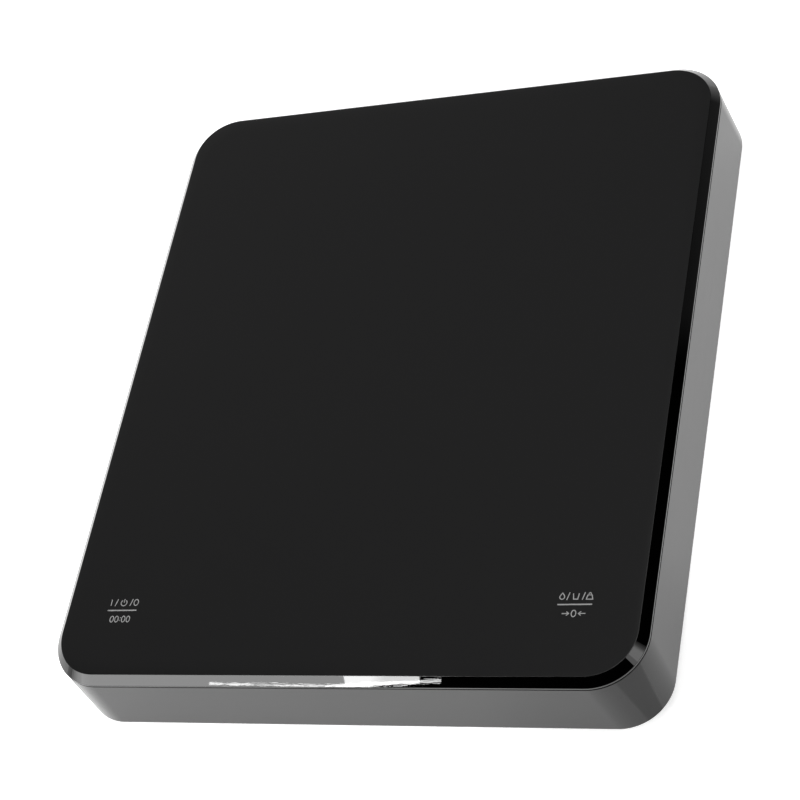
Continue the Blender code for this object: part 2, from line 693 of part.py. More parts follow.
def make_charge_board(platform):
    """A small board by the rear wall. Its socket looks out through the wall."""
    half_x, half_y = CHARGE_BOARD_SIZE[0] / 2, CHARGE_BOARD_SIZE[1] / 2
    board = slab(
        "charge_board",
        half_x,
        half_y,
        BOARD_CORNER_RADIUS,
        CHARGE_BOARD_LOW,
        CHARGE_BOARD_HIGH,
        "board_green",
        platform,
        (0.0, CHARGE_BOARD_Y),
    )
    hole = BOARD_SCREW_RADIUS + SEAT_GAP
    low, high = CHARGE_BOARD_LOW - SEAT_GAP, CHARGE_BOARD_HIGH + SEAT_GAP
    cut_holes(board, "charge_hole", hole, low, high, charge_screw_places(), platform)
    for number, (x, y) in enumerate(charge_screw_places(), start=1):
        name = f"charge_screw_{number}"
        seat = (x, y, low)
        length = CHARGE_BOARD_SIZE[2] + 2 * SEAT_GAP + 4 * BOARD_SCREW_RADIUS
        pan_screw(name, BOARD_SCREW_HEAD, BOARD_SCREW_RADIUS, length, seat, platform, upwards=True)
    size = CHARGE_PLUG_SIZE
    front = CHARGE_BOARD_Y - half_y
    middle = (0.0, front + size[1] / 2 + SEAT_GAP, high + size[2] / 2)
    block("charge_plug", size, middle, "connector_white", platform)
    chip = CHARGER_CHIP_SIZE
    spot = (half_x - chip[0], CHARGE_BOARD_Y + half_y / 2, high + chip[2] / 2)
    block("charger_chip", chip, spot, "chip_black", platform)
    return (0.0, front, high + size[2] / 2)


def make_socket(platform):
    """A flat oval shell, open at the rear, with the contact tongue in its middle. It is drawn
    standing on end and then laid down, so its length runs along Y."""
    half_x, half_z = SOCKET_SIZE[0] / 2, SOCKET_SIZE[2] / 2
    share = (RIM_HIGH - SOCKET_MIDDLE) / (RIM_HIGH - RIM_LOW)
    mouth_y = DEPTH / 2 + SIDE_FLARE * share - SOCKET_RECESS
    shell = (half_x, half_z, half_z * OVAL_END, -SOCKET_SIZE[1], 0.0)
    socket = slab("charge_socket", *shell, "steel", platform)
    bore_x, bore_z = half_x - SOCKET_WALL, half_z - SOCKET_WALL
    bore = (bore_x, bore_z, bore_z * OVAL_END, -SOCKET_BORE_DEPTH, SOCKET_WALL)
    inside = slab("socket_bore", *bore, None, platform)
    for item in (socket, inside):
        item.rotation_euler.x = -math.pi / 2
        item.location = (0.0, mouth_y, SOCKET_MIDDLE)
    tongue_y = mouth_y - SOCKET_BORE_DEPTH - SOCKET_WALL + TONGUE_SIZE[1] / 2
    spot = (0.0, tongue_y, SOCKET_MIDDLE)
    cut(socket, inside)
    join(socket, block("socket_tongue", TONGUE_SIZE, spot, None, platform))


# ---------------------------------------------------------------- leads
def smooth_path(corners, spacing):
    """Points at about the given spacing along a smooth curve through the corners. Each stretch
    is a cubic, which passes a corner in parallel with the line between the corner's neighbours.
    The first and the last stretch are straight."""
    ends = [corners[0]] + corners + [corners[-1]]
    headings = [(after - before).normalized() for before, after in zip(ends, ends[2:])]
    headings[1] = headings[0]
    headings[-2] = headings[-1]
    stretches = zip(corners, corners[1:], headings, headings[1:])
    points = []
    for start, end, leave, arrive in stretches:
        length = (end - start).length
        count = max(2, round(length / spacing))
        for step in range(count):
            t = step / count
            swing = leave * (t * (1 - t) ** 2) - arrive * (t**2 * (1 - t))
            points.append(start.lerp(end, t * t * (3 - 2 * t)) + swing * length)
    points.append(corners[-1])
    return points


def wire(name, points, radius, finish, body):
    """A round wire along the points, closed at both ends."""
    curve = bpy.data.curves.new(name, "CURVE")
    curve.dimensions = "3D"
    curve.bevel_depth = radius
    curve.bevel_resolution = 2
    curve.use_fill_caps = True
    spline = curve.splines.new("POLY")
    spline.points.add(len(points) - 1)
    for point, spot in zip(spline.points, points):
        point.co = (*spot, 1.0)
    return place(name, curve, finish, body)


def lead(name, corners, body):
    route = smooth_path([Vector(corner) for corner in corners], 5 * LEAD_RADIUS)
    wire(name, route, LEAD_RADIUS, "lead_grey", body)


def make_leads(platform, battery_middle, charge_plug_face):
    """The three inner leads. Each runs straight out of both of its ends."""
    start = 2.5 * LEAD_RADIUS
    plug_y = CONNECTOR_Y + CONNECTOR_SIZE[1] / 2 + SEAT_GAP
    low = CONNECTOR_MIDDLE - LEAD_SAG
    front = -BATTERY_SIZE[1] / 2 - SEAT_GAP
    lead(
        "battery_lead",
        [
            (BATTERY_X, plug_y, CONNECTOR_MIDDLE),
            (BATTERY_X, plug_y + start, CONNECTOR_MIDDLE),
            (BATTERY_X + start, (plug_y + front) / 2, low),
            (BATTERY_X, front - start, battery_middle),
            (BATTERY_X, front, battery_middle),
        ],
        platform,
    )
    gauge = CELL_HIGH + SEAT_GAP + GAUGE_COVER_THICKNESS / 2
    side = -(CELL_WIDTH / 2 + SEAT_GAP)
    gauge_y = -GAUGE_COVER_LENGTH / 4
    lead(
        "cell_lead",
        [
            (CELL_CONNECTOR_X, plug_y, CONNECTOR_MIDDLE),
            (CELL_CONNECTOR_X, plug_y + start, CONNECTOR_MIDDLE),
            (CELL_CONNECTOR_X, plug_y / 2, low),
            (CELL_CONNECTOR_X + LEAD_RADIUS, gauge_y - 2 * start, gauge - LEAD_SAG),
            (side - start, gauge_y, gauge),
            (side, gauge_y, gauge),
        ],
        platform,
    )
    x, y, z = charge_plug_face
    far = -(PLATE_SIDE / 2 + 4 * start)
    lead(
        "charge_lead",
        [
            (CHARGE_CONNECTOR_X, plug_y, CONNECTOR_MIDDLE),
            (CHARGE_CONNECTOR_X, plug_y + start, CONNECTOR_MIDDLE),
            (far, plug_y / 2, low),
            (far, 0.0, low),
            (far, CELL_LENGTH / 2, low),
            (far / 2, (CELL_LENGTH / 2 + y) / 2, (low + z) / 2),
            (x, y - start, z),
            (x, y, z),
        ],
        platform,
    )


# ---------------------------------------------------------------- load cell and its fixings
def make_platform_plate(platform):
    """The steel plate that spreads the load from the cell's free end into the deck."""
    half = PLATE_SIDE / 2
    plate = slab(
        "platform_plate",
        half,
        half,
        PLATE_CORNER_RADIUS,
        PLATE_LOW,
        PLATE_HIGH,
        "steel",
        platform,
        (0.0, CLAMP_Y),
    )
    low, high = PLATE_LOW - SEAT_GAP, PLATE_HIGH + SEAT_GAP
    holes = [(0.0, y) for y in CELL_HOLES]
    cut_holes(plate, "plate_hole", CELL_SCREW_RADIUS + SEAT_GAP, low, high, holes, platform)
    reach = PLATE_SCREW_RADIUS + SEAT_GAP
    cut_holes(plate, "plate_tap", reach, low, high, plate_screw_places(), platform)
    top = DECK_HIGH - PLATE_SCREW_SINK
    for number, (x, y) in enumerate(plate_screw_places(), start=1):
        length = top - PLATE_LOW + PLATE_SCREW_PROUD
        flat_screw(f"plate_screw_{number}", (x, y, top), length, platform)


def make_spacer(name, low, side, body):
    size = (CELL_WIDTH, SPACER_LENGTH, SPACER_THICKNESS)
    middle = (0.0, side * CLAMP_Y, low + SPACER_THICKNESS / 2)
    spacer = block(name, size, middle, "steel", body)
    holes = [(0.0, side * y) for y in CELL_HOLES]
    reach = CELL_SCREW_RADIUS + SEAT_GAP
    ends = (low - SEAT_GAP, low + SPACER_THICKNESS + SEAT_GAP)
    cut_holes(spacer, f"{name}_hole", reach, *ends, holes, body)


def make_load_cell(base):
    """The aluminium beam. Its front end is fixed below, and its rear end carries the platform."""
    middle = (0.0, 0.0, (CELL_LOW + CELL_HIGH) / 2)
    cell = block("load_cell", (CELL_WIDTH, CELL_LENGTH, CELL_HEIGHT), middle, "aluminium", base)
    for number, y in enumerate((-BINOCULAR_OFFSET, BINOCULAR_OFFSET), start=1):
        eye = rod(
            f"cell_eye_{number}", BINOCULAR_RADIUS, -CELL_WIDTH, CELL_WIDTH, (0.0, 0.0), None, base
        )
        eye.rotation_euler.y = math.pi / 2
        eye.location = (0.0, y, middle[2])
        cut(cell, eye)
    slot = (2 * CELL_WIDTH, 2 * BINOCULAR_OFFSET, BINOCULAR_SLOT)
    cut(cell, block("cell_slot", slot, middle, None, base))
    reach = CELL_SCREW_RADIUS + SEAT_GAP
    depth = CELL_SCREW_GRIP + SEAT_GAP + PRESS_TRAVEL
    front = [(0.0, -y) for y in CELL_HOLES]
    rear = [(0.0, y) for y in CELL_HOLES]
    cut_holes(cell, "cell_front_tap", reach, CELL_LOW - SEAT_GAP, CELL_LOW + depth, front, base)
    cut_holes(cell, "cell_rear_tap", reach, CELL_HIGH - depth, CELL_HIGH + SEAT_GAP, rear, base)
    size = (CELL_WIDTH, GAUGE_COVER_LENGTH, GAUGE_COVER_THICKNESS)
    above = CELL_HIGH + SEAT_GAP + GAUGE_COVER_THICKNESS / 2
    below = CELL_LOW - SEAT_GAP - GAUGE_COVER_THICKNESS / 2
    block("gauge_cover_top", size, (0.0, 0.0, above), "silicone_white", base)
    block("gauge_cover_bottom", size, (0.0, 0.0, below), "silicone_white", base)


def make_cell_screws(platform, base):
    seat_high = PLATE_HIGH + SEAT_GAP
    seat_low = BASE_LOW + HEAD_POCKET - SEAT_GAP
    for number, y in enumerate(CELL_HOLES, start=1):
        length = seat_high - CELL_HIGH + CELL_SCREW_GRIP
        spot = (0.0, y, seat_high)
        pan_screw(
            f"upper_cell_screw_{number}", CELL_SCREW_HEAD, CELL_SCREW_RADIUS, length, spot, platform
        )
        length = CELL_LOW + CELL_SCREW_GRIP - seat_low
        spot = (0.0, -y, seat_low)
        pan_screw(
            f"lower_cell_screw_{number}",
            CELL_SCREW_HEAD,
            CELL_SCREW_RADIUS,
            length,
            spot,
            base,
            upwards=True,
        )


# ---------------------------------------------------------------- base plate and feet
def make_base_plate(base):
    plate = slab(
        "base_plate",
        BASE_X,
        BASE_Y,
        BASE_RADIUS,
        BASE_LOW,
        BASE_HIGH + BASE_RIM_HEIGHT,
        "base_plastic",
        base,
    )
    tray = slab(
        "base_tray",
        BASE_X - BASE_RIM_WIDTH,
        BASE_Y - BASE_RIM_WIDTH,
        BASE_RADIUS - BASE_RIM_WIDTH,
        BASE_HIGH,
        BASE_HIGH + 2 * BASE_RIM_HEIGHT,
        None,
        base,
    )
    cut(plate, tray)
    sunk = BASE_HIGH - BASE_THICKNESS / 2
    for number, middle in enumerate(mirrored(PILLAR_X, PILLAR_Y), start=1):
        high = BASE_HIGH + PILLAR_HEIGHT
        join(plate, rod(f"pillar_{number}", PILLAR_RADIUS, sunk, high, middle, None, base))
    rib_high = BASE_HIGH + BASE_RIB_HEIGHT
    rib_y = 2 * (BASE_Y - BASE_RIM_WIDTH / 2)
    for number, side in enumerate((-1, 1), start=1):
        middle = (side * PLATE_SIDE / 2, 0.0, (sunk + rib_high) / 2)
        size = (BASE_RIB_WIDTH, rib_y, rib_high - sunk)
        join(plate, block(f"base_rib_{number}", size, middle, None, base))
    seat = FOOT_RADIUS + SEAT_GAP
    ceiling = BASE_LOW + FOOT_SEAT
    feet = mirrored(FOOT_X, FOOT_Y)
    cut_holes(plate, "foot_seat", seat, BASE_LOW - SEAT_GAP, ceiling, feet, base)
    heads = [(0.0, -y) for y in CELL_HOLES]
    pocket = CELL_SCREW_HEAD[0] + SEAT_GAP
    top = BASE_LOW + HEAD_POCKET
    cut_holes(plate, "head_pocket", pocket, BASE_LOW - SEAT_GAP, top, heads, base)
    reach = CELL_SCREW_RADIUS + SEAT_GAP
    cut_holes(plate, "base_hole", reach, BASE_LOW, BASE_HIGH + SEAT_GAP, heads, base)
    label_low, label_high = BASE_LOW - LABEL_RECESS, BASE_LOW + LABEL_RECESS
    spot = (0.0, CLAMP_Y)
    half_x, half_y = LABEL_SIZE[0] / 2, LABEL_SIZE[1] / 2
    corner = 2 * LABEL_RECESS
    recess = slab(
        "label_recess",
        half_x + SEAT_GAP,
        half_y + SEAT_GAP,
        corner + SEAT_GAP,
        label_low,
        label_high,
        None,
        base,
        spot,
    )
    cut(plate, recess)
    high = label_high - SEAT_GAP
    slab(
        "rating_label",
        half_x,
        half_y,
        corner,
        high - LABEL_SIZE[2],
        high,
        "label_silver",
        base,
        spot,
    )


def make_feet(base):
    high = BASE_LOW + FOOT_SEAT - SEAT_GAP
    profile = [
        (0.0, high),
        (FOOT_RADIUS, high),
        (FOOT_RADIUS, FOOT_CHAMFER),
        (FOOT_RADIUS - FOOT_CHAMFER, 0.0),
        (0.0, 0.0),
    ]
    names = ["foot_front_left", "foot_front_right", "foot_rear_right", "foot_rear_left"]
    for name, (x, y) in zip(names, mirrored(FOOT_X, FOOT_Y)):
        turned(name, profile, "foot_rubber", base, (x, y, 0.0))


def main():
    clear_scene()
    bodies = []
    for name in ("platform_axis", "base_axis"):
        empty = bpy.data.objects.new(name, None)
        bpy.context.scene.collection.objects.link(empty)
        bodies.append(empty)
    platform, base = bodies
    make_top_panel(platform)
    make_adhesive(platform)
    make_housing(platform)
    make_main_board(platform)
    make_display(platform)
    make_key_spring("key_spring_left", -KEY_X, platform)
    make_key_spring("key_spring_right", KEY_X, platform)
    make_board_parts(platform)
    battery_middle = make_battery(platform)
    charge_plug_face = make_charge_board(platform)
    make_socket(platform)
    make_leads(platform, battery_middle, charge_plug_face)
    make_platform_plate(platform)
    make_spacer("upper_spacer", UPPER_SPACER_LOW, 1, platform)
    make_load_cell(base)
    make_spacer("lower_spacer", LOWER_SPACER_LOW, -1, base)
    make_cell_screws(platform, base)
    make_base_plate(base)
    make_feet(base)


main()
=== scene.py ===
# %% [markdown]
# # A compact kitchen scale
#
# The scale is a bevelled black panel bonded to a glossy black housing, and the two together are the
# weighing platform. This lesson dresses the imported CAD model: it replaces the pieces that are seen
# with finer surfaces worked out in numpy, gives every other piece a procedural finish, and sets up
# a pale table with studio light. Everything is in metres, in the CAD model's own frame.

# %% Load the frame and note its box
import json
import math

import bpy
import numpy as np
from mathutils import Matrix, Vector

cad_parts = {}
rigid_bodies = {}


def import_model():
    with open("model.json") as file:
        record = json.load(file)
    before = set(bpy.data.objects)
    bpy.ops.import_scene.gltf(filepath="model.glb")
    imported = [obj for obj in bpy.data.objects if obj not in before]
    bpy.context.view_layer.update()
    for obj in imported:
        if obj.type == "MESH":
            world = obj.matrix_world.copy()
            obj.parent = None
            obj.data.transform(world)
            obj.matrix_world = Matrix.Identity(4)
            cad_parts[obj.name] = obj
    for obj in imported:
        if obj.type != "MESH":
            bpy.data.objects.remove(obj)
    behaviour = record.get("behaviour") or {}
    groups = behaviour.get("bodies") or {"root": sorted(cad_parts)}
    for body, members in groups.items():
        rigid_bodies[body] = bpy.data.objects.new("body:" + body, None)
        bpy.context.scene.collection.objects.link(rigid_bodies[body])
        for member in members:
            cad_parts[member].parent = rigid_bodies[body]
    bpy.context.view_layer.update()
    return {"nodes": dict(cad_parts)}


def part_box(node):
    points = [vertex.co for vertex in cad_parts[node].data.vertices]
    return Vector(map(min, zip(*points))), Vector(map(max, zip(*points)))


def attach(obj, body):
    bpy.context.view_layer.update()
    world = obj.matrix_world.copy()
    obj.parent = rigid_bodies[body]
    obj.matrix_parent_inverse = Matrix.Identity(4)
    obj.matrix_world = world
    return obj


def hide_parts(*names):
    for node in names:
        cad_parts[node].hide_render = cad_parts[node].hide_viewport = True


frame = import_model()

MM = 0.001

# %% [markdown]
# ## The camera first
#
# The view is from the front right, a little under half way up, and the camera is rolled so that
# the scale seems to lean. The lens is long, so the far edges stay nearly as long as the near ones.
# A camera looks along its own -Z, so its three axes are written as the columns of a matrix. Writing
# the axes is the surest way here, because the roll is strong and angles would be hard to read. A
# small shift frames the scale in the middle of the picture without turning the camera.

# %% The camera
CAMERA_PLACE = (0.19224, -0.24545, 0.38002)
CAMERA_RIGHT = (0.9031, 0.1892, -0.3855)
CAMERA_UP = (0.0492, 0.8462, 0.5306)
LENS = 99.26
FRAMING = (0.0767, 0.0014)
SENSOR = 36.0


def stand(item, right, up, place):
    """Puts an item at a place, with its X along right, its Y along up and its Z along their cross
    product. All three are brought to unit length."""
    side = np.array(right) / np.linalg.norm(right)
    back = np.cross(side, up)
    back /= np.linalg.norm(back)
    axes = np.column_stack([side, np.cross(back, side), back, place])
    bpy.context.scene.collection.objects.link(item)
    item.matrix_world = Matrix([*axes.tolist(), (0.0, 0.0, 0.0, 1.0)])


camera_data = bpy.data.cameras.new("studio_camera")
camera_data.lens = LENS
camera_data.sensor_width = SENSOR
camera_data.shift_x, camera_data.shift_y = FRAMING
camera_data.clip_start, camera_data.clip_end = 0.01, 20.0
camera = bpy.data.objects.new("studio_camera", camera_data)
stand(camera, CAMERA_RIGHT, CAMERA_UP, CAMERA_PLACE)
bpy.context.scene.camera = camera
print("the camera stands", round(math.dist(CAMERA_PLACE, (0, 0, 0)), 3), "m from the middle")

# %% [markdown]
# ## Surfaces from two parameters
#
# Nearly every moulded piece here is one profile carried once round a rectangle with round corners.
# Modelling by hand with a cube and a bevel would do, but then each radius is a guess. Here a point
# is an anchor plus a heading: the anchor is the middle of the corner arc, and slides from corner to
# corner along the sides, and the heading is the outward direction. One formula then gives every
# ring of the piece at once.

# %% A walk round a rounded rectangle
def rounded_walk(arc_steps, side_steps=4):
    """Anchors and headings once round, counterclockwise from above, as two (n, 2) arrays.

    Anchors are -1 to 1 in x and y. A heading is the cosine and sine of its angle, which grows
    along the four arcs and stays the same along the four sides.
    """
    corners = np.array([(1, 1), (-1, 1), (-1, -1), (1, -1)], float)
    angle = (np.arange(4)[:, None] + np.linspace(0, 1, arc_steps + 1)) * np.pi / 2
    arc_heading = np.stack([np.cos(angle), np.sin(angle)], axis=2)
    arc_anchor = np.repeat(corners[:, None], arc_steps + 1, axis=1)
    slide = np.linspace(0, 1, side_steps + 1)[1:-1, None]
    step = (np.roll(corners, -1, axis=0) - corners)[:, None]
    side_anchor = corners[:, None] + slide * step
    side_heading = np.repeat(arc_heading[:, -1:], side_steps - 1, axis=1)
    anchors = np.concatenate([arc_anchor, side_anchor], axis=1).reshape(-1, 2)
    headings = np.concatenate([arc_heading, side_heading], axis=1).reshape(-1, 2)
    return anchors, headings


def carried_round(profile, half, walk, middle=(0.0, 0.0)):
    """A grid of points, profile rows by walk columns.

    Each profile row is (inset, height, corner radius). The place in plan is
    anchor * (half size - inset - radius) + heading * radius.
    """
    anchors, headings = walk
    inset, height, radius = np.asarray(profile, float).T
    reach = np.asarray(half, float) - (inset + radius)[:, None, None]
    plan = anchors * reach + headings * radius[:, None, None] + np.asarray(middle, float)
    rise = np.broadcast_to(height[:, None, None], (*plan.shape[:2], 1))
    return np.concatenate([plan, rise], axis=2)


def eased(corners, rounds, steps=6):
    """A profile whose inner corners are rounded, for any number of columns.

    Corner B becomes (1-t)^2 A + 2t(1-t) B + t^2 C, where A and C lie on its two straight runs at
    the rounding distance. A guard point beyond A and C keeps the shading of the runs flat.
    """
    corners = np.asarray(corners, float)
    rounds = np.asarray(rounds, float)[:, None]
    middle = corners[1:-1]
    runs = [corners[:-2] - middle, corners[2:] - middle]
    units = [run / np.linalg.norm(run, axis=1, keepdims=True) for run in runs]
    near, far = (middle + rounds * unit for unit in units)
    guards = [middle + 1.5 * rounds * unit for unit in units]
    t = np.linspace(0, 1, steps + 1)[:, None]
    curve = (1 - t) ** 2 * near[:, None] + 2 * t * (1 - t) * middle[:, None] + t**2 * far[:, None]
    rows = np.concatenate([guards[0][:, None], curve, guards[1][:, None]], axis=1)
    return np.vstack([corners[:1], rows.reshape(-1, corners.shape[1]), corners[-1:]])


walk = rounded_walk(28)
print("one walk has", len(walk[0]), "points")

# %% [markdown]
# ## From a grid to a closed piece
#
# A grid of points becomes faces by joining each point to its neighbours. The columns close on
# themselves, and the two end rows are closed by a fan to their middle, so no seam or hole stays
# open. A shell can come out inside out, depending on which way its profile runs. Its signed volume
# tells: when it is negative, all faces are turned round.

# %% Skins and pieces
def skin(grid, loop=False):
    """Points and faces of a closed surface on a grid.

    Face i, j joins (i, j), (i, j+1), (i+1, j+1) and (i+1, j). The last column joins the first. With
    loop the last row joins the first row too, otherwise each end row gets a fan to its mean point.
    """
    rows, columns = grid.shape[:2]
    number = np.arange(rows * columns).reshape(rows, columns)
    above = np.roll(number, -1, axis=0) if loop else number[1:]
    below = number if loop else number[:-1]
    faces = np.stack([below, np.roll(below, -1, 1), np.roll(above, -1, 1), above], axis=2)
    faces = faces.reshape(-1, 4)
    points = grid.reshape(-1, 3)
    fans = np.zeros((0, 3), int)
    if not loop:
        poles = np.array([grid[0].mean(axis=0), grid[-1].mean(axis=0)])
        first, last = number[0], number[-1]
        pole = np.full(columns, rows * columns)
        fans = np.vstack([
            np.stack([np.roll(first, -1), first, pole], axis=1),
            np.stack([last, np.roll(last, -1), pole + 1], axis=1),
        ])
        points = np.vstack([points, poles])
    return outward(points, faces, fans)


def outward(points, faces, fans):
    """Turns every face round if the signed volume, the sum of a.(b x c)/6, is negative."""
    triangles = np.vstack([faces[:, [0, 1, 2]], faces[:, [0, 2, 3]], fans])
    a, b, c = (points[triangles[:, k]] for k in range(3))
    volume = np.einsum("ij,ij->i", a, np.cross(b, c)).sum() / 6
    if volume < 0:
        faces, fans = faces[:, ::-1], fans[:, ::-1]
    return points, faces.tolist() + fans.tolist()


def several(skins):
    """Stacks separate skins into one set of points and faces."""
    points, faces, start = [], [], 0
    for some_points, some_faces in skins:
        points.append(some_points)
        faces += [[start + corner for corner in face] for face in some_faces]
        start += len(some_points)
    return np.vstack(points), faces


def make_piece(name, surface, sharp=35.0):
    """A new object at the origin from points and faces, smooth except along sharp edges."""
    points, faces = surface
    mesh = bpy.data.meshes.new(name)
    mesh.from_pydata(points.tolist(), [], faces)
    mesh.validate()
    mesh.shade_smooth()
    mesh.set_sharp_from_angle(angle=math.radians(sharp))
    piece = bpy.data.objects.new(name, mesh)
    bpy.context.scene.collection.objects.link(piece)
    return piece


def settle(piece, body, slot, *nodes):
    """Rides the piece on its body and hides the CAD nodes that it stands for. The slot is not used."""
    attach(piece, body)
    if nodes:
        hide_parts(*nodes)
    size = np.array(piece.dimensions) / MM
    print(f"{piece.name}: {len(piece.data.polygons)} faces, {np.round(size, 2).tolist()} mm")


# %% [markdown]
# ## Turned pieces and carving tools
#
# Feet and screws are turned: a profile of radius and height swung round an axis. Holes, pockets
# and bosses are put in with two Booleans, one that adds and one that cuts. Each Boolean takes a
# whole collection of tools, so the wall is worked out twice and not forty times. The result is
# applied and the tools are deleted, and only the finished mesh is left.

# %% Turning and carving
def turned(profile, middle=(0.0, 0.0), steps=48):
    """A skin swung round a vertical axis: x = r cos(a), y = r sin(a), for (r, height) rows."""
    angle = np.linspace(0, 2 * np.pi, steps, endpoint=False)
    radius, height = np.asarray(profile, float).T
    x = middle[0] + radius[:, None] * np.cos(angle)
    y = middle[1] + radius[:, None] * np.sin(angle)
    rise = np.broadcast_to(height[:, None], x.shape)
    return skin(np.stack([x, y, rise], axis=2))


def slab(half, radius, low, high, middle=(0.0, 0.0), arc_steps=10):
    """A skin with straight walls over a rounded rectangle."""
    profile = [(0.0, low, radius), (0.0, high, radius)]
    return skin(carried_round(profile, half, rounded_walk(arc_steps, 2), middle))


def rod(radius, low, high, middle, steps=40):
    return turned([(radius, low), (radius, high)], middle, steps)


def block(size, middle, height, radius=0.15 * MM):
    """A slab by its size and middle, with height as (low, high) and barely rounded corners."""
    return slab((size[0] / 2, size[1] / 2), radius, *height, middle, 4)


def apply_tools(piece, operation, skins):
    """One Boolean on the piece with every skin as a tool, applied, and the tools removed."""
    tools = bpy.data.collections.new(f"{piece.name}_tools")
    bpy.context.scene.collection.children.link(tools)
    for number, surface in enumerate(skins):
        tool = make_piece(f"tool_{number}", surface)
        bpy.context.scene.collection.objects.unlink(tool)
        tools.objects.link(tool)
    step = piece.modifiers.new("carve", "BOOLEAN")
    step.operation, step.solver = operation, "EXACT"
    step.operand_type, step.collection = "COLLECTION", tools
    bpy.context.view_layer.update()
    graph = bpy.context.evaluated_depsgraph_get()
    carved = bpy.data.meshes.new_from_object(piece.evaluated_get(graph))
    piece.modifiers.clear()
    old, piece.data = piece.data, carved
    bpy.data.meshes.remove(old)
    for tool in list(tools.objects):
        bpy.data.meshes.remove(tool.data)
    bpy.data.collections.remove(tools)
    carved.name = piece.name
    carved.shade_smooth()
    carved.set_sharp_from_angle(angle=math.radians(30))


def mirrored(x, y):
    return [(-x, -y), (x, -y), (x, y), (-x, y)]


# %% [markdown]
# ## The bevelled pane
#
# The top is a thick black pane with a broad polished bevel all round. The bevel isn't quite flat:
# polishing leaves it crowned by a thousandth of a millimetre, which spreads the lamps' reflections.
# The crown is added to the straight bevel as a half sine wave, square to the bevel. The profile is
# carried round the outline, and the small land under the bevel and both edges are eased.

# %% Make the pane
panel_low, panel_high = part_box("top_panel")
CORNER = 11.7 * MM
BEVEL_IN = 1.75 * MM
LAND = 0.45 * MM
COAT_DROP = 0.05 * MM
CROWN = 0.001 * MM
half_x, half_y = panel_high.x, panel_high.y
pane_top = panel_high.z - COAT_DROP


def crowned_bevel(low, high, rows=9):
    """Rows from the low to the high end of the bevel: the straight line plus CROWN * sin(pi t)
    along its outward normal, which is the run turned by a quarter."""
    t = np.linspace(0, 1, rows)[1:-1, None]
    low, high = np.array(low, float), np.array(high, float)
    run = high - low
    normal = np.array([-run[1], run[0], 0.0]) / np.hypot(run[0], run[1])
    line = low + t * run
    return line + CROWN * np.sin(np.pi * t) * normal


bevel_foot = (0.0, panel_low.z + LAND, CORNER)
bevel_head = (BEVEL_IN, pane_top, CORNER - BEVEL_IN)
pane_profile = eased(
    [
        (6 * MM, panel_low.z, CORNER - 6 * MM),
        (0.0, panel_low.z, CORNER),
        bevel_foot,
        *crowned_bevel(bevel_foot, bevel_head),
        bevel_head,
        (6 * MM, pane_top, CORNER - 6 * MM),
    ],
    [0.1 * MM, 0.08 * MM, *[0.08 * MM] * 7, 0.07 * MM],
    4,
)
pane = make_piece("panel_pane", skin(carried_round(pane_profile, (half_x, half_y), rounded_walk(48))))
settle(pane, "platform", "panel_bevel", "top_panel")

# %% [markdown]
# ## The matte coat
#
# The weighing face is coated with a fine matte layer that stops at the bevel. It is far thinner
# than a hair, yet its rim shows as a line between matte and polish. So it is a sheet of its own, a
# twentieth of a millimetre over the pane. Its face is a grid of rings that shrink to the middle,
# which gives the fine texture something real to lie on and keeps the faces even.

# %% Make the coat
COAT_EDGE = 0.02 * MM
coat_low, coat_high = pane_top + 0.005 * MM, pane_top + 0.03 * MM
coat_inset = BEVEL_IN + 0.05 * MM
coat_radius = CORNER - coat_inset


def shrinking(grid_row, shares):
    """Copies of a ring drawn towards the middle: each point times its share, same height."""
    scale = np.asarray(shares, float)[:, None, None] * np.array([1.0, 1.0, 0.0])
    return grid_row * (scale + np.array([0.0, 0.0, 1.0]))


coat_profile = [
    (coat_inset, coat_low, coat_radius),
    (coat_inset, coat_high - 0.01 * MM, coat_radius),
    (coat_inset + 0.003 * MM, coat_high - 0.003 * MM, coat_radius - 0.003 * MM),
    (coat_inset + COAT_EDGE, coat_high, coat_radius - COAT_EDGE),
]
coat_rim = carried_round(coat_profile, (half_x, half_y), rounded_walk(48, 16))
face_rings = shrinking(coat_rim[-1], np.linspace(1, 0, 24)[1:-1])
coat = make_piece("panel_face", skin(np.concatenate([coat_rim, face_rings])))
settle(coat, "platform", "panel_face", "top_panel")

# %% [markdown]
# ## The key marks
#
# Two printed marks show where to touch the panel. Each has a line of small signs, a bar and a
# second line. The signs are generic ones that any appliance may carry: on, power and off over a
# row of clock digits, and drop, cup and weight over a zero between two arrows. Every sign is a few
# strokes, and a stroke is a small rectangle carried along a path, so the ink is a real layer that
# stands a few hundredths of a millimetre proud.

# %% Strokes of ink
INK_WIDTH = 0.2 * MM
ink_low, ink_high = coat_high + 0.003 * MM, panel_high.z


def stroke(path, closed=False, width=INK_WIDTH):
    """A closed ribbon along a path: each point moved by plus and minus half the width along the
    normal, which is the mean direction of its two runs turned by a quarter."""
    path = np.asarray(path, float)
    ahead = np.roll(path, -1, axis=0) - path
    behind = path - np.roll(path, 1, axis=0)
    if not closed:
        ahead[-1], behind[0] = behind[-1], ahead[0]
    units = [run / np.linalg.norm(run, axis=1, keepdims=True) for run in (ahead, behind)]
    mean = units[0] + units[1]
    length = np.linalg.norm(mean, axis=1, keepdims=True)
    normal = np.stack([-mean[:, 1], mean[:, 0]], axis=1) / length * np.minimum(2 / length, 1.6)
    side = normal * width / 2
    left, right = path + side, path - side
    section = [(left, ink_low), (left, ink_high), (right, ink_high), (right, ink_low)]
    columns = [np.column_stack([plan, np.full(len(plan), height)]) for plan, height in section]
    return skin(np.stack(columns, axis=1), loop=closed)


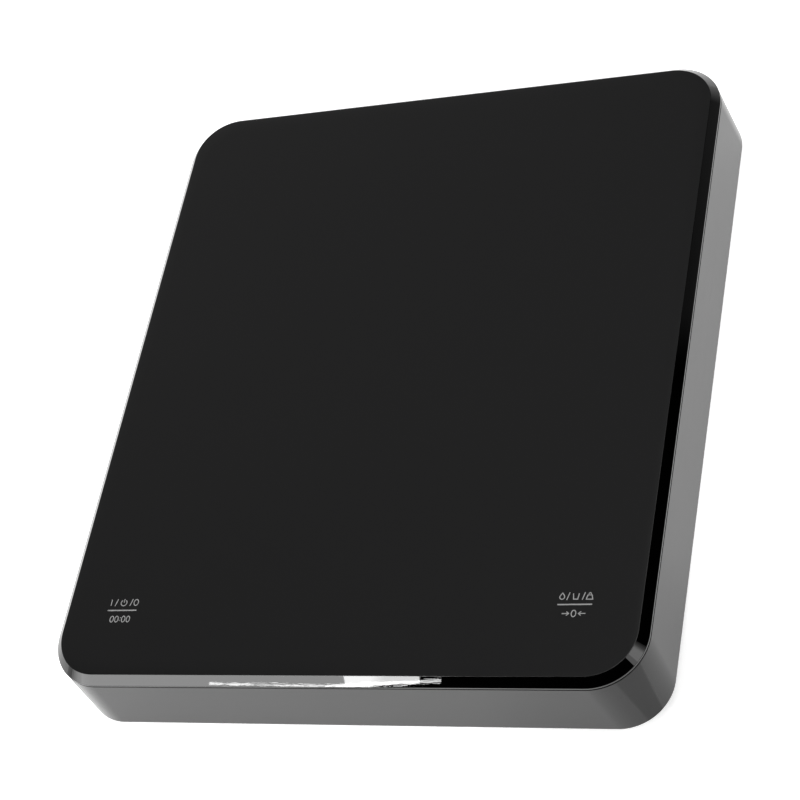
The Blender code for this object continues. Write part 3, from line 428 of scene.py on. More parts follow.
def arc(middle, radii, start=0.0, end=360.0, steps=28):
    """Points of an oval arc: middle plus radii times the cosine and sine of the angle."""
    angle = np.radians(np.linspace(start, end, steps, endpoint=end - start < 360.0))
    return np.asarray(middle) + np.stack([np.cos(angle), np.sin(angle)], axis=1) * radii


# %% The signs, one em high about their own middle
def line_sign(x):
    return [([(x, -0.42), (x, 0.42)], False)]


def slash_sign(x):
    return [([(x - 0.14, -0.5), (x + 0.14, 0.5)], False)]


def ring_sign(x, wide=0.36, high=0.42):
    return [(arc((x, 0.0), (wide, high), 0, 360), True)]


def power_sign(x):
    return [(arc((x, -0.04), (0.42, 0.42), -235, 55), False), ([(x, 0.0), (x, 0.5)], False)]


def drop_sign(x):
    """A drop: radius 0.3 below, and drawn to a point above by a cubed cosine."""
    angle = np.linspace(0, 2 * np.pi, 30, endpoint=False) + np.pi / 2
    point = np.clip(np.sin(angle), 0, 1) ** 3
    across = 0.3 * np.cos(angle) * (1 - 0.6 * point)
    plan = np.stack([across, 0.3 * np.sin(angle) + 0.22 * point], axis=1)
    return [(plan + (x, -0.1), True)]


def cup_sign(x):
    return [([(x - 0.36, 0.36), (x - 0.26, -0.4), (x + 0.26, -0.4), (x + 0.36, 0.36)], False)]


def weight_sign(x):
    body = [(x - 0.26, 0.12), (x + 0.26, 0.12), (x + 0.4, -0.42), (x - 0.4, -0.42)]
    return [(body, True), (arc((x, 0.28), (0.14, 0.14)), True)]


def colon_sign(x):
    return [(arc((x, y), (0.02, 0.02), 0, 360, 8), True) for y in (-0.2, 0.2)]


def arrow_sign(x, way):
    head = [(x + way * 0.1, 0.26), (x + way * 0.4, 0.0), (x + way * 0.1, -0.26)]
    return [([(x - way * 0.45, 0.0), (x + way * 0.3, 0.0)], False), (head, False)]


def placed(signs, middle, em):
    """Strokes for signs in ems, scaled and moved to their place on the face."""
    return [stroke(np.asarray(path) * em + np.asarray(middle), closed) for path, closed in signs]


# %% Print the two marks
EM = 1.65 * MM
left_x, right_x = -50.6 * MM, 50.4 * MM
slashes = [*slash_sign(-1.1), *slash_sign(1.1)]
power_row = [*line_sign(-1.85), *power_sign(0), *ring_sign(1.8, 0.32), *slashes]
zeros = [sign for x in (-1.2, -0.5, 0.5, 1.2) for sign in ring_sign(x, 0.25)]
clock_row = [*zeros, *colon_sign(0)]
unit_row = [*drop_sign(-1.7), *slash_sign(-0.95), *cup_sign(0), *slash_sign(0.95), *weight_sign(1.7)]
zero_row = [*arrow_sign(-1.0, 1), *ring_sign(0, 0.28), *arrow_sign(1.0, -1)]
BAR = 0.28 * MM
marks = {
    "key_print_power": (left_x, power_row, clock_row, (-57.1, -58.95, -61.0)),
    "key_print_units": (right_x, unit_row, zero_row, (-56.85, -58.65, -60.6)),
}
for name, (x, upper, lower, heights) in marks.items():
    upper_y, bar_y, lower_y = (y * MM for y in heights)
    bar = stroke([(x - 3.55 * MM, bar_y), (x + 3.5 * MM, bar_y)], width=BAR)
    surface = several([*placed(upper, (x, upper_y), EM), bar, *placed(lower, (x, lower_y), EM)])
    settle(make_piece(name, surface), "platform", "key_print")

# %% [markdown]
# ## The housing
#
# The housing is a deep, thin-walled tray turned upside down. Its sides lean out towards the table by
# about a degree, so that it can leave the mould, and its lower edge is rounded. The profile runs
# over the deck, up the rim, down the outside, round the lip and up the inner wall. The corner
# radius shrinks a little towards the table, so each profile row carries its own. The display
# window, key holes, screw seats, bosses and ribs follow as tools.

# %% Make the housing's shell
housing_low, housing_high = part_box("housing")
plate_low, plate_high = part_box("platform_plate")
RIM = 1.2 * MM
FLARE = 0.35 * MM
LOW_CORNER = 10.5 * MM
WALL = 2.2 * MM
SEAT = 0.3 * MM
rim_low, rim_high = housing_low.z, housing_high.z
deck_low, deck_high = plate_high.z + SEAT, plate_high.z + SEAT + 1.5 * MM
inner = WALL - FLARE
inner_corner = LOW_CORNER - WALL
DEEP = 8 * MM
shell_profile = eased(
    [
        (DEEP, deck_high, CORNER - DEEP),
        (RIM, deck_high, CORNER - RIM),
        (RIM, rim_high, CORNER - RIM),
        (0.0, rim_high, CORNER),
        (-FLARE, rim_low, LOW_CORNER),
        (inner, rim_low, inner_corner),
        (inner, deck_low, inner_corner),
        (inner + 4 * MM, deck_low, inner_corner - 4 * MM),
    ],
    [0.15 * MM, 0.1 * MM, 0.16 * MM, 0.5 * MM, 0.3 * MM, 0.6 * MM],
)
shell_skin = skin(carried_round(shell_profile, (half_x, half_y), rounded_walk(40)))
shell = make_piece("housing_shell", shell_skin)
print("wall profile rows:", len(shell_profile))

# %% Bosses, ribs, holes and the socket's mouth
inner_x, inner_y = half_x - inner, half_y - inner
board_low, board_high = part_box("main_board")
PRESS_GAP = 0.35 * MM
post_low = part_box("base_plate")[1].z + PRESS_GAP
charge_low, charge_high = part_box("charge_board")
socket_low, socket_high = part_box("charge_socket")
board_screws = [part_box(f"board_screw_{number}") for number in range(1, 5)]
charge_screws = [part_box(f"charge_screw_{number}") for number in (1, 2)]
plate_screws = [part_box(f"plate_screw_{number}") for number in range(1, 5)]
head_screws = [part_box(f"upper_cell_screw_{number}") for number in (1, 2)]
key_springs = [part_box(f"key_spring_{side}") for side in ("left", "right")]
display_low, display_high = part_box("led_display")


def plan_middle(box):
    low, high = box
    return (low.x + high.x) / 2, (low.y + high.y) / 2


sunk = (deck_low + deck_high) / 2
PILLAR_PLACES = mirrored(58.5 * MM, 42.3 * MM)
RIB_LOW = deck_low - 2.0 * MM
rear_rib_y = (plate_low.y + plate_high.y) / 2 + 26 * MM
side_rib = (-(inner_x + WALL / 2 + 19 * MM) / 2, inner_x + WALL / 2 - 19 * MM)
additions = [rod(2.5 * MM, board_high.z + SEAT, sunk, plan_middle(box)) for box in board_screws]
additions += [rod(2.5 * MM, charge_high.z + SEAT, sunk, plan_middle(box)) for box in charge_screws]
additions += [rod(3.0 * MM, post_low, sunk, spot) for spot in PILLAR_PLACES]
additions += [block((2 * inner_x + WALL, 1.2 * MM), (0.0, rear_rib_y), (RIB_LOW, sunk))]
additions += [
    block((side_rib[1], 1.2 * MM), (side_rib[0], rear_rib_y - row * 16 * MM), (RIB_LOW, sunk))
    for row in (1, 2, 3)
]
through = (deck_low - 0.5 * MM, deck_high + 0.5 * MM)
window = (display_high.x + 0.5 * MM, (display_high.y - display_low.y) / 2 + 0.5 * MM)
cutters = [slab(window, 0.4 * MM, *through, plan_middle((display_low, display_high)))]
cutters += [rod(3.4 * MM, *through, plan_middle(box)) for box in key_springs]
cutters += [rod(4.0 * MM, *through, plan_middle(box)) for box in head_screws]
cutters += [rod(1.3 * MM, board_high.z, sunk, plan_middle(box)) for box in board_screws]
cutters += [rod(1.3 * MM, charge_high.z, sunk, plan_middle(box)) for box in charge_screws]
SINK = [(1.93, -2.2), (1.93, -1.38), (3.32, 0.02), (6.2, 2.8)]
for box in plate_screws:
    rows = [(radius * MM, deck_high + height * MM) for radius, height in SINK]
    cutters.append(turned(rows, plan_middle(box)))


def laid_down(surface, mouth_y, height):
    """Turns a skin drawn standing on end so that its +Z points out of the rear wall, along +Y."""
    points, faces = surface
    x, y, z = points.T
    return np.column_stack([-x, z + mouth_y, y + height]), faces


socket_middle = (socket_low.z + socket_high.z) / 2
mouth_half = (socket_high.x + SEAT, (socket_high.z - socket_low.z) / 2 + SEAT)
mouth = slab(mouth_half, 0.97 * mouth_half[1], 0.0, 12 * MM, arc_steps=16)
cutters.append(laid_down(mouth, inner_y - WALL, socket_middle))
apply_tools(shell, "UNION", additions)
apply_tools(shell, "DIFFERENCE", cutters)
settle(shell, "platform", "housing", "housing")

# %% [markdown]
# ## The base plate
#
# The base is a shallow tray that stays still on the table while the housing floats round it. It is
# seen only from below. Its lower edge is eased, the feet and the two cell screws sit in round
# pockets, and the label lies in a recess. Inside stand four pillars that stop an overload, and two
# long ribs that stiffen the floor.

# %% Make the base plate
base_low, base_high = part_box("base_plate")
feet_names = ["foot_front_left", "foot_front_right", "foot_rear_right", "foot_rear_left"]
feet = {name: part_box(name) for name in feet_names}
lower_screws = {f"lower_cell_screw_{n}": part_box(f"lower_cell_screw_{n}") for n in (1, 2)}
label_low, label_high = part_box("rating_label")
base_half = (base_high.x, base_high.y)
BASE_CORNER = 7.3 * MM
BASE_RIM = 1.5 * MM
base_floor = base_low.z + 1.8 * MM
rim_top = base_floor + 3.0 * MM
base_profile = eased(
    [
        (5 * MM, base_low.z, BASE_CORNER - 5 * MM),
        (0.0, base_low.z, BASE_CORNER),
        (0.0, rim_top, BASE_CORNER),
        (BASE_RIM, rim_top, BASE_CORNER - BASE_RIM),
        (BASE_RIM, base_floor, BASE_CORNER - BASE_RIM),
        (5 * MM, base_floor, BASE_CORNER - 5 * MM),
    ],
    [0.45 * MM, 0.25 * MM, 0.25 * MM, 0.4 * MM],
)
base = make_piece("base_tray", skin(carried_round(base_profile, base_half, rounded_walk(28))))
floor_middle = (base_low.z + base_floor) / 2
rib_length = 2 * (base_half[1] - BASE_RIM / 2)
additions = [rod(3.0 * MM, floor_middle, base_high.z, spot) for spot in PILLAR_PLACES]
additions += [
    block((1.2 * MM, rib_length), (side * 18 * MM, 0.0), (floor_middle, base_floor + 2 * MM))
    for side in (-1, 1)
]
under = base_low.z - 1 * MM
cutters = [rod(6.3 * MM, under, base_low.z + 0.8 * MM, plan_middle(box), 64) for box in feet.values()]
for box in lower_screws.values():
    cutters.append(rod(3.8 * MM, under, base_low.z + 1.2 * MM, plan_middle(box), 48))
    cutters.append(rod(2.3 * MM, under, base_floor + 1 * MM, plan_middle(box)))
label_half = ((label_high.x - label_low.x) / 2 + SEAT, (label_high.y - label_low.y) / 2 + SEAT)
label_middle = plan_middle((label_low, label_high))
cutters.append(slab(label_half, 1.3 * MM, under, base_low.z + 0.5 * MM, label_middle))
apply_tools(base, "UNION", additions)
apply_tools(base, "DIFFERENCE", cutters)
settle(base, "base", "base_plastic", "base_plate")

# %% [markdown]
# ## Rubber feet
#
# Four soft discs grip the table. A plain disc would slide, so each has two ring grooves and a dished
# middle, and its rim is well rounded. They are turned pieces with one shared profile.

# %% Make the feet
FOOT = 6.0
foot_top = next(iter(feet.values()))[1].z / MM
foot_profile = eased(
    [
        (1.0, foot_top), (FOOT, foot_top), (FOOT, 0.0), (4.7, 0.0), (4.6, 0.3), (4.1, 0.3),
        (4.0, 0.0), (3.2, 0.0), (3.1, 0.3), (2.6, 0.3), (2.5, 0.0), (1.7, 0.0), (0.9, 0.18), (0.4, 0.2),
    ],
    [0.15, 0.4, 0.08, 0.05, 0.05, 0.08, 0.08, 0.05, 0.05, 0.08, 0.12, 0.15],
    4,
)
for name, box in feet.items():
    foot = make_piece(f"{name}_pad", turned(foot_profile * MM, plan_middle(box), 72), 60)
    settle(foot, "base", "foot_rubber", name)

# %% [markdown]
# ## The two screws that show
#
# Two pan screws hold the load cell to the base, and their heads are the only metal seen from
# outside. Each has a crowned head with a cross recess, and a shank with a shallow screw thread. The
# thread is a single surface: the radius follows a triangle wave that climbs with the angle.

# %% Make the lower cell screws
HEAD_RADIUS, HEAD_HEIGHT, SHANK_RADIUS, PITCH = 3.5 * MM, 0.9 * MM, 2.0 * MM, 0.7 * MM


def threaded_screw(middle, low, high, steps=48, rows_per_turn=10):
    """A screw that points up. Its head is low, then height h and angle a give the shank's radius:
    SHANK_RADIUS less up to a quarter millimetre by a triangle wave of h / PITCH - a / (2 pi)."""
    angle = np.linspace(0, 2 * np.pi, steps, endpoint=False)
    seat = low + HEAD_HEIGHT
    head = eased(
        [(1.2 * MM, low), (HEAD_RADIUS, low), (HEAD_RADIUS, seat), (SHANK_RADIUS - 0.25 * MM, seat)],
        [0.45 * MM, 0.1 * MM],
    )
    turns = (high - 0.6 * MM - seat) / PITCH
    height = np.linspace(seat + 0.02 * MM, high - 0.6 * MM, int(turns * rows_per_turn))
    wave = (height[:, None] / PITCH - angle / (2 * np.pi)) % 1.0
    thread = SHANK_RADIUS - 0.25 * MM * (1 - np.abs(2 * wave - 1))
    tip = np.array([(1.5 * MM, high - 0.15 * MM), (1.1 * MM, high)])
    radius = np.concatenate([np.repeat(head[:, :1], steps, 1), thread, np.repeat(tip[:, :1], steps, 1)])
    rise = np.concatenate([head[:, 1], height, tip[:, 1]])[:, None] + 0 * angle
    x, y = middle[0] + radius * np.cos(angle), middle[1] + radius * np.sin(angle)
    return skin(np.stack([x, y, rise], axis=2))


def cross_tool(middle, low, depth, reach):
    """A cross recess: four arms, which narrow to half their size at the bottom of the recess."""
    angle = np.radians(np.arange(0, 360, 90))[:, None]
    along = reach * np.array([1.0, 1.0, 0.3])
    across = reach * np.array([-0.3, 0.3, 0.3])
    x = (along * np.cos(angle) - across * np.sin(angle)).ravel()
    y = (along * np.sin(angle) + across * np.cos(angle)).ravel()
    levels = [(1.15, low - depth / 2), (0.55, low + depth)]
    rows = [np.column_stack([middle[0] + x * k, middle[1] + y * k, np.full(12, z)]) for k, z in levels]
    return skin(np.stack(rows))


for name, (low, high) in lower_screws.items():
    spot = plan_middle((low, high))
    screw = make_piece(f"{name}_threaded", threaded_screw(spot, low.z, high.z))
    apply_tools(screw, "DIFFERENCE", [cross_tool(spot, low.z, 0.6 * MM, 1.7 * MM)])
    settle(screw, "base", "screw_steel", name)

# %% [markdown]
# ## The charge socket
#
# The charge socket looks out through a flat oval in the rear wall. It is a folded steel shell with a
# rounded mouth and a thin tongue in the middle that carries the contacts. The shell is a profile
# carried round the oval and then laid down, and the tongue is a second piece with rows of gold
# contacts set on both its faces.

# %% Make the socket and its tongue
shell_half = (socket_high.x, (socket_high.z - socket_low.z) / 2)
mouth_y = socket_high.y
depth = socket_high.y - socket_low.y
oval = 0.97 * shell_half[1]
FOLD = 0.3 * MM
BORE = 5.8 * MM
socket_profile = eased(
    [
        (1.0 * MM, -depth, oval - 1.0 * MM),
        (0.0, -depth, oval),
        (0.0, 0.0, oval),
        (FOLD, 0.0, oval - FOLD),
        (FOLD, -BORE, oval - FOLD),
        (1.0 * MM, -BORE, oval - 1.0 * MM),
    ],
    [0.2 * MM, 0.12 * MM, 0.12 * MM, 0.1 * MM],
)
socket_skin = skin(carried_round(socket_profile, shell_half, rounded_walk(20, 3)))
socket = make_piece("charge_socket_shell", laid_down(socket_skin, mouth_y, socket_middle))
settle(socket, "platform", "plate_steel", "charge_socket")
tongue_profile = eased(
    [(0.2 * MM, -BORE + 0.02 * MM, 0.1 * MM), (0.0, -BORE + 0.02 * MM, 0.15 * MM), (0.0, -0.7 * MM, 0.15 * MM),
     (0.2 * MM, -0.7 * MM, 0.1 * MM)],
    [0.03 * MM, 0.12 * MM],
)
tongue_half = (3.15 * MM, 0.33 * MM)
tongue_skin = skin(carried_round(tongue_profile, tongue_half, rounded_walk(5, 3)))
tongue = make_piece("charge_socket_tongue", laid_down(tongue_skin, mouth_y, socket_middle))
settle(tongue, "platform", "display_body", "charge_socket")
contacts = []
for side in (-1, 1):
    for column in np.arange(-5.5, 6.0) * 0.5 * MM:
        pad = slab((0.13 * MM, 1.7 * MM), 0.05 * MM, 0.335 * MM, 0.36 * MM, (column, -3.2 * MM), 3)
        points, faces = pad
        flat = np.column_stack([points[:, 0], side * points[:, 2], points[:, 1]])
        contacts.append((flat, faces if side < 0 else [face[::-1] for face in faces]))
pads = make_piece("charge_socket_contacts", laid_down(several(contacts), mouth_y, socket_middle))
settle(pads, "platform", "spring_steel", "charge_socket")

# %% [markdown]
# ## Shader sums written as sums
#
# A finish is a tree of nodes, and most of the nodes do arithmetic. Placing them by hand hides the
# thought behind them. Here a small class wraps a socket, and its operators add the Math nodes, so a
# mask is written as 1 - dust * 0.3. Everything else comes from one method that takes a node's type,
# its settings and its inputs.

# %% Numbers on sockets, and a bench to build on
class Level:
    """A number that varies over a surface, wrapped so that +, -, * and / make Math nodes."""

    def __init__(self, bench, socket):
        self.bench, self.socket = bench, socket

    def __add__(self, other):
        return self.bench.math("ADD", self, other)

    def __sub__(self, other):
        return self.bench.math("SUBTRACT", self, other)

    def __rsub__(self, other):
        return self.bench.math("SUBTRACT", other, self)

    def __mul__(self, other):
        return self.bench.math("MULTIPLY", self, other)

    def __truediv__(self, other):
        return self.bench.math("DIVIDE", self, other)

    def __abs__(self):
        return self.bench.math("ABSOLUTE", self)

    __radd__, __rmul__ = __add__, __mul__

    def most(self, other):
        return self.bench.math("MAXIMUM", self, other)

    def least(self, other):
        return self.bench.math("MINIMUM", self, other)

    def fraction(self):
        return self.bench.math("FRACT", self)

    def between(self, low, high):
        """0 below low, 1 above high and a smooth step between them. Low may be the higher one."""
        settings = {"interpolation_type": "SMOOTHSTEP"}
        ends = {"Value": self, "From Min": low, "From Max": high}
        return Level(self.bench, self.bench.node("ShaderNodeMapRange", settings, ends).outputs[0])


class Bench:
    """A node tree being built."""

    def __init__(self, tree):
        self.tree = tree

    def node(self, kind, settings=None, inputs=None):
        """Any node: its type, its settings first, and then its sockets' values or links."""
        made = self.tree.nodes.new(kind)
        for name, value in (settings or {}).items():
            setattr(made, name, value)
        for name, value in (inputs or {}).items():
            value = value.socket if isinstance(value, Level) else value
            if isinstance(value, bpy.types.NodeSocket):
                self.tree.links.new(value, made.inputs[name])
            else:
                made.inputs[name].default_value = value
        return made

    def math(self, operation, *numbers):
        made = self.node("ShaderNodeMath", {"operation": operation}, dict(enumerate(numbers)))
        return Level(self, made.outputs[0])

    def parts(self, vector):
        """The x, y and z of a vector, as levels."""
        made = self.node("ShaderNodeSeparateXYZ", None, {0: vector})
        return [Level(self, socket) for socket in made.outputs]


class Finish(Bench):
    """A material whose shader starts from plain values. A varying level is then linked to one of
    its sockets, and a height field becomes its relief."""

    def __init__(self, name, colour, roughness, metallic=0.0, **steady):
        self.material = bpy.data.materials.new(name)
        self.material.use_nodes = True
        super().__init__(self.material.node_tree)
        self.shader = self.tree.nodes["Principled BSDF"]
        self.shader.inputs["Base Color"].default_value = (*colour, 1.0)
        self.shader.inputs["Roughness"].default_value = roughness
        self.shader.inputs["Metallic"].default_value = metallic
        for socket, value in steady.items():
            self.shader.inputs[socket.replace("_", " ")].default_value = value
        self.place = self.node("ShaderNodeTexCoord").outputs["Object"]
        self.x, self.y, self.z = self.parts(self.place)

    def noise(self, size, detail=2.0, stretch=(1.0, 1.0, 1.0)):
        """Soft noise, 0 to 1, with lumps about as big as size in metres, longer along stretch."""
        scale = tuple(1.0 / share for share in stretch)
        place = self.node("ShaderNodeMapping", None, {"Vector": self.place, "Scale": scale})
        inputs = {"Vector": place.outputs[0], "Scale": 1.0 / size, "Detail": detail}
        return Level(self, self.node("ShaderNodeTexNoise", None, inputs).outputs["Fac"])

    def cells(self, size, feature="F1"):
        """Distance to the nearest of scattered points, in cells about as big as size."""
        inputs = {"Vector": self.place, "Scale": 1.0 / size}
        made = self.node("ShaderNodeTexVoronoi", {"feature": feature}, inputs)
        return Level(self, made.outputs["Distance"])

    def mixed(self, share, first, second):
        """A colour part of the way from the first to the second. Either may be a socket."""
        first, second = ((*c, 1.0) if isinstance(c, tuple) else c for c in (first, second))
        made = self.node("ShaderNodeMix", {"data_type": "RGBA"}, {0: share, 6: first, 7: second})
        return made.outputs[2]

    def set(self, socket, value):
        value = value.socket if isinstance(value, Level) else value
        self.tree.links.new(value, self.shader.inputs[socket])

    def relief(self, height, depth):
        """Bump whose full height of 1 stands for depth, in metres."""
        made = self.node("ShaderNodeBump", None, {"Strength": 1.0, "Distance": depth, "Height": height})
        self.set("Normal", made.outputs[0])

    def on(self, *pieces):
        for piece in pieces:
            piece.data.materials.clear()
            piece.data.materials.append(self.material)


print("a level is a number on a socket; a bench is a tree being built")

# %% [markdown]
# ## The matte coat's finish
#
# A good matte black is hardly a colour at all: what is seen is a wide, weak sheen. The texture is a
# tenth of a millimetre across and a few thousandths deep. Cloudy patches in the roughness keep the
# sheen from looking printed, and a thin line along the rim is rubbed smoother, as it is where
# hands and cloths pass over it.

# %% Matte coat
matte = Finish("matte_coat", (0.004, 0.004, 0.004), 0.5, Specular_IOR_Level=0.16)
clouds = matte.noise(14 * MM, 3.0)
smears = matte.noise(30 * MM, 2.0, (3.0, 1.0, 1.0))
grain = matte.noise(0.16 * MM, 1.0)
rim_line = (abs(matte.x) - (half_x - coat_inset)).most(abs(matte.y) - (half_y - coat_inset))
rubbed = rim_line.between(-1.2 * MM, 0.0)
matte.set("Base Color", matte.mixed(clouds, (0.0032, 0.0032, 0.0034), (0.005, 0.005, 0.0052)))
matte.set("Roughness", 0.44 + 0.08 * clouds + 0.05 * smears - 0.08 * rubbed)
matte.relief(grain + 0.4 * clouds, 0.006 * MM)
matte.on(coat)

# %% [markdown]
# ## Polished edge and glossy housing
#
# The bevel is polished to a mirror, so its finish is nearly all reflection: a deep black with a
# trace of polishing lines. The housing is moulded in a polished tool. It reflects like black
# plastic seen at a shallow angle, with a faint ripple from cooling, fine scratches from wiping, and
# a duller, scuffed line round its lower edge. Its inside is left with the dull face of the mould.

# %% Polished edge
polish = Finish("polished_edge", (0.0005, 0.0005, 0.0005), 0.03, IOR=1.55)
lines = polish.noise(0.5 * MM, 2.0, (6.0, 6.0, 0.5))
haze = polish.noise(9 * MM, 3.0)
edge_wear = polish.z.between(pane_top - 0.1 * MM, pane_top - 0.02 * MM)
polish.set("Roughness", 0.003 + 0.012 * haze + 0.2 * edge_wear)
polish.relief(lines + haze, 0.0006 * MM)
polish.on(pane)

# %% Glossy housing
gloss = Finish("glossy_housing", (0.004, 0.004, 0.0042), 0.2, Specular_IOR_Level=0.39)
ripple = gloss.noise(16 * MM, 1.0)
orange_peel = gloss.noise(1.1 * MM, 2.0)
wiped = gloss.noise(0.35 * MM, 3.0, (40.0, 40.0, 1.0)).between(0.62, 0.7)
dust = gloss.noise(0.45 * MM, 2.0).between(0.7, 0.78)
hem = gloss.z.between(rim_low + 1.1 * MM, rim_low + 0.1 * MM)
scuffs = (hem * gloss.noise(1.6 * MM, 4.0).between(0.42, 0.62)).least(1.0)
inside_x = abs(gloss.x).between(inner_x + 0.5 * MM, inner_x + 0.1 * MM)
inside_y = abs(gloss.y).between(inner_y + 0.5 * MM, inner_y + 0.1 * MM)
inside = inside_x * inside_y
worn = gloss.mixed(scuffs * 0.7, (0.004, 0.004, 0.0042), (0.03, 0.03, 0.029))
gloss.set("Base Color", gloss.mixed(dust * 0.2, worn, (0.05, 0.05, 0.048)))
satin = 0.18 + 0.06 * ripple + 0.05 * wiped + 0.1 * dust + 0.15 * scuffs
gloss.set("Roughness", satin + inside * 0.3)
gloss.relief(ripple * 1.0 + orange_peel * 0.06 + scuffs * 0.1, 0.012 * MM)
gloss.on(shell)

# %% [markdown]
# ## Ink, base plastic, rubber and label
#
# The ink is a pale grey screen print whose thickness varies a little. The base is moulded with a
# spark-eroded texture, which hides scratches. Rubber is dull and picks up dust where it touches the
# table. The label is a blank satin film with a plain printed frame: a real one carries text, and
# none is drawn here.

# %% Ink
ink = Finish("key_ink", (0.42, 0.42, 0.42), 0.55)
ink_grain = ink.noise(0.12 * MM, 2.0)
ink.set("Base Color", ink.mixed(ink_grain, (0.3, 0.3, 0.3), (0.5, 0.5, 0.5)))
ink.set("Roughness", 0.5 + 0.15 * ink_grain)
ink.relief(ink_grain, 0.003 * MM)
for name in marks:
    ink.on(bpy.data.objects[name])

# %% Base plastic, rubber and label
spark = Finish("textured_base", (0.018, 0.018, 0.019), 0.5)
pits = spark.noise(0.3 * MM, 3.0)
patches = spark.noise(12 * MM, 3.0)
scratches = spark.noise(0.5 * MM, 3.0, (30.0, 4.0, 1.0)).between(0.64, 0.7)
bottom = spark.z.between(base_low.z + 0.1 * MM, base_low.z)
marked = scratches * bottom
spark.set("Base Color", spark.mixed(marked * 0.6, (0.016, 0.016, 0.017), (0.05, 0.05, 0.05)))
spark.set("Roughness", 0.45 + 0.12 * patches + 0.1 * pits - 0.1 * marked)
spark.relief(pits - 0.5 * marked, 0.02 * MM)
spark.on(base)

rubber = Finish("foot_rubber", (0.022, 0.022, 0.022), 0.85, Specular_IOR_Level=0.35)
bloom = rubber.noise(1.5 * MM, 4.0)
tread_dust = rubber.z.between(0.12 * MM, 0.0) * bloom.between(0.4, 0.7)
greyed = tread_dust * 0.6 + bloom * 0.1
rubber.set("Base Color", rubber.mixed(greyed, (0.02, 0.02, 0.02), (0.12, 0.115, 0.105)))
rubber.set("Roughness", 0.78 + 0.15 * bloom)
rubber.relief(rubber.noise(0.25 * MM, 3.0), 0.015 * MM)
for name in feet:
    rubber.on(bpy.data.objects[f"{name}_pad"])

label = Finish("blank_label", (0.4, 0.4, 0.41), 0.42)
over_x = abs(label.x - label_middle[0])
over_y = abs(label.y - label_middle[1])
to_edge = (label_half[0] - over_x).least(label_half[1] - over_y)
frame_line = to_edge.between(1.5 * MM, 1.6 * MM) * to_edge.between(2.0 * MM, 1.9 * MM)
row = ((label.y - label_middle[1]) / (5.2 * MM) + 0.5).fraction()
rule = row.between(0.46, 0.47) * row.between(0.54, 0.53) * to_edge.between(2.0 * MM, 2.1 * MM)
film = label.noise(0.4 * MM, 2.0, (20.0, 1.0, 1.0))
silver = label.mixed(film, (0.36, 0.36, 0.37), (0.46, 0.46, 0.47))
label.set("Base Color", label.mixed(frame_line.most(rule), silver, (0.03, 0.03, 0.03)))
label.set("Roughness", 0.36 + 0.12 * film)
label.relief(film, 0.002 * MM)
label.on(frame["nodes"]["rating_label"])

# %% [markdown]
# ## Finishes for the pieces inside
#
# The inner pieces keep their CAD shape, because boards, screws and brackets are exactly that shape.
# Most of their finishes differ only in colours, in the size of the grain and in how far it is
# drawn out: rolled steel has long fine lines, foil has wide wrinkles, and foam has cells. So they
# share one recipe, with a row of values for each material. Boards get copper lines under the green.

# %% One recipe for plain materials
def plain_finish(name, dark, light, roughness, metallic, size, stretch, depth):
    """Noise of the given size and stretch moves the colour, the roughness and the relief."""
    made = Finish(name, light, roughness, metallic)
    grain = made.noise(size, 3.0, stretch)
    stain = made.noise(7 * MM, 3.0)
    made.set("Base Color", made.mixed(0.7 * grain + 0.3 * stain, dark, light))
    made.set("Roughness", roughness - 0.08 + 0.1 * grain + 0.06 * stain)
    made.relief(grain, depth)
    return made


def grey(value):
    return (value, value, value * 1.01)


EVEN, ALONG_X, ALONG_Y = (1.0, 1.0, 1.0), (30.0, 1.0, 1.0), (1.0, 30.0, 1.0)
RECIPES = {
    "foam_tape": (grey(0.03), grey(0.06), 0.8, 0.0, 0.3 * MM, EVEN, 0.03 * MM),
    "smoked_film": ((0.02, 0.006, 0.006), (0.04, 0.012, 0.012), 0.16, 0.0, 3 * MM, EVEN, 0.002 * MM),
    "display_resin": (grey(0.012), grey(0.026), 0.35, 0.0, 0.4 * MM, EVEN, 0.004 * MM),
    "chip_resin": (grey(0.014), grey(0.03), 0.5, 0.0, 0.12 * MM, EVEN, 0.01 * MM),
    "connector_nylon": ((0.66, 0.64, 0.57), (0.78, 0.76, 0.69), 0.42, 0.0, 0.9 * MM, EVEN, 0.01 * MM),
    "lead_jacket": (grey(0.09), grey(0.14), 0.5, 0.0, 0.5 * MM, ALONG_Y, 0.01 * MM),
    "battery_foil": (grey(0.5), grey(0.66), 0.32, 0.8, 4.5 * MM, (1.0, 2.0, 1.0), 0.25 * MM),
    "foam_pad": (grey(0.7), grey(0.85), 0.85, 0.0, 0.5 * MM, EVEN, 0.1 * MM),
    "spring_steel": (grey(0.46), grey(0.6), 0.28, 1.0, 0.2 * MM, EVEN, 0.004 * MM),
    "plate_steel": (grey(0.48), grey(0.62), 0.34, 1.0, 0.25 * MM, ALONG_X, 0.006 * MM),
    "screw_steel": (grey(0.3), grey(0.45), 0.3, 1.0, 0.3 * MM, EVEN, 0.008 * MM),
    "cell_aluminium": (grey(0.66), grey(0.8), 0.38, 1.0, 0.22 * MM, ALONG_Y, 0.006 * MM),
    "gauge_silicone": (grey(0.74), grey(0.84), 0.6, 0.0, 1.5 * MM, EVEN, 0.05 * MM),
}
finishes = {name: plain_finish(name, *recipe) for name, recipe in RECIPES.items()}
print(len(finishes), "finishes from one recipe")


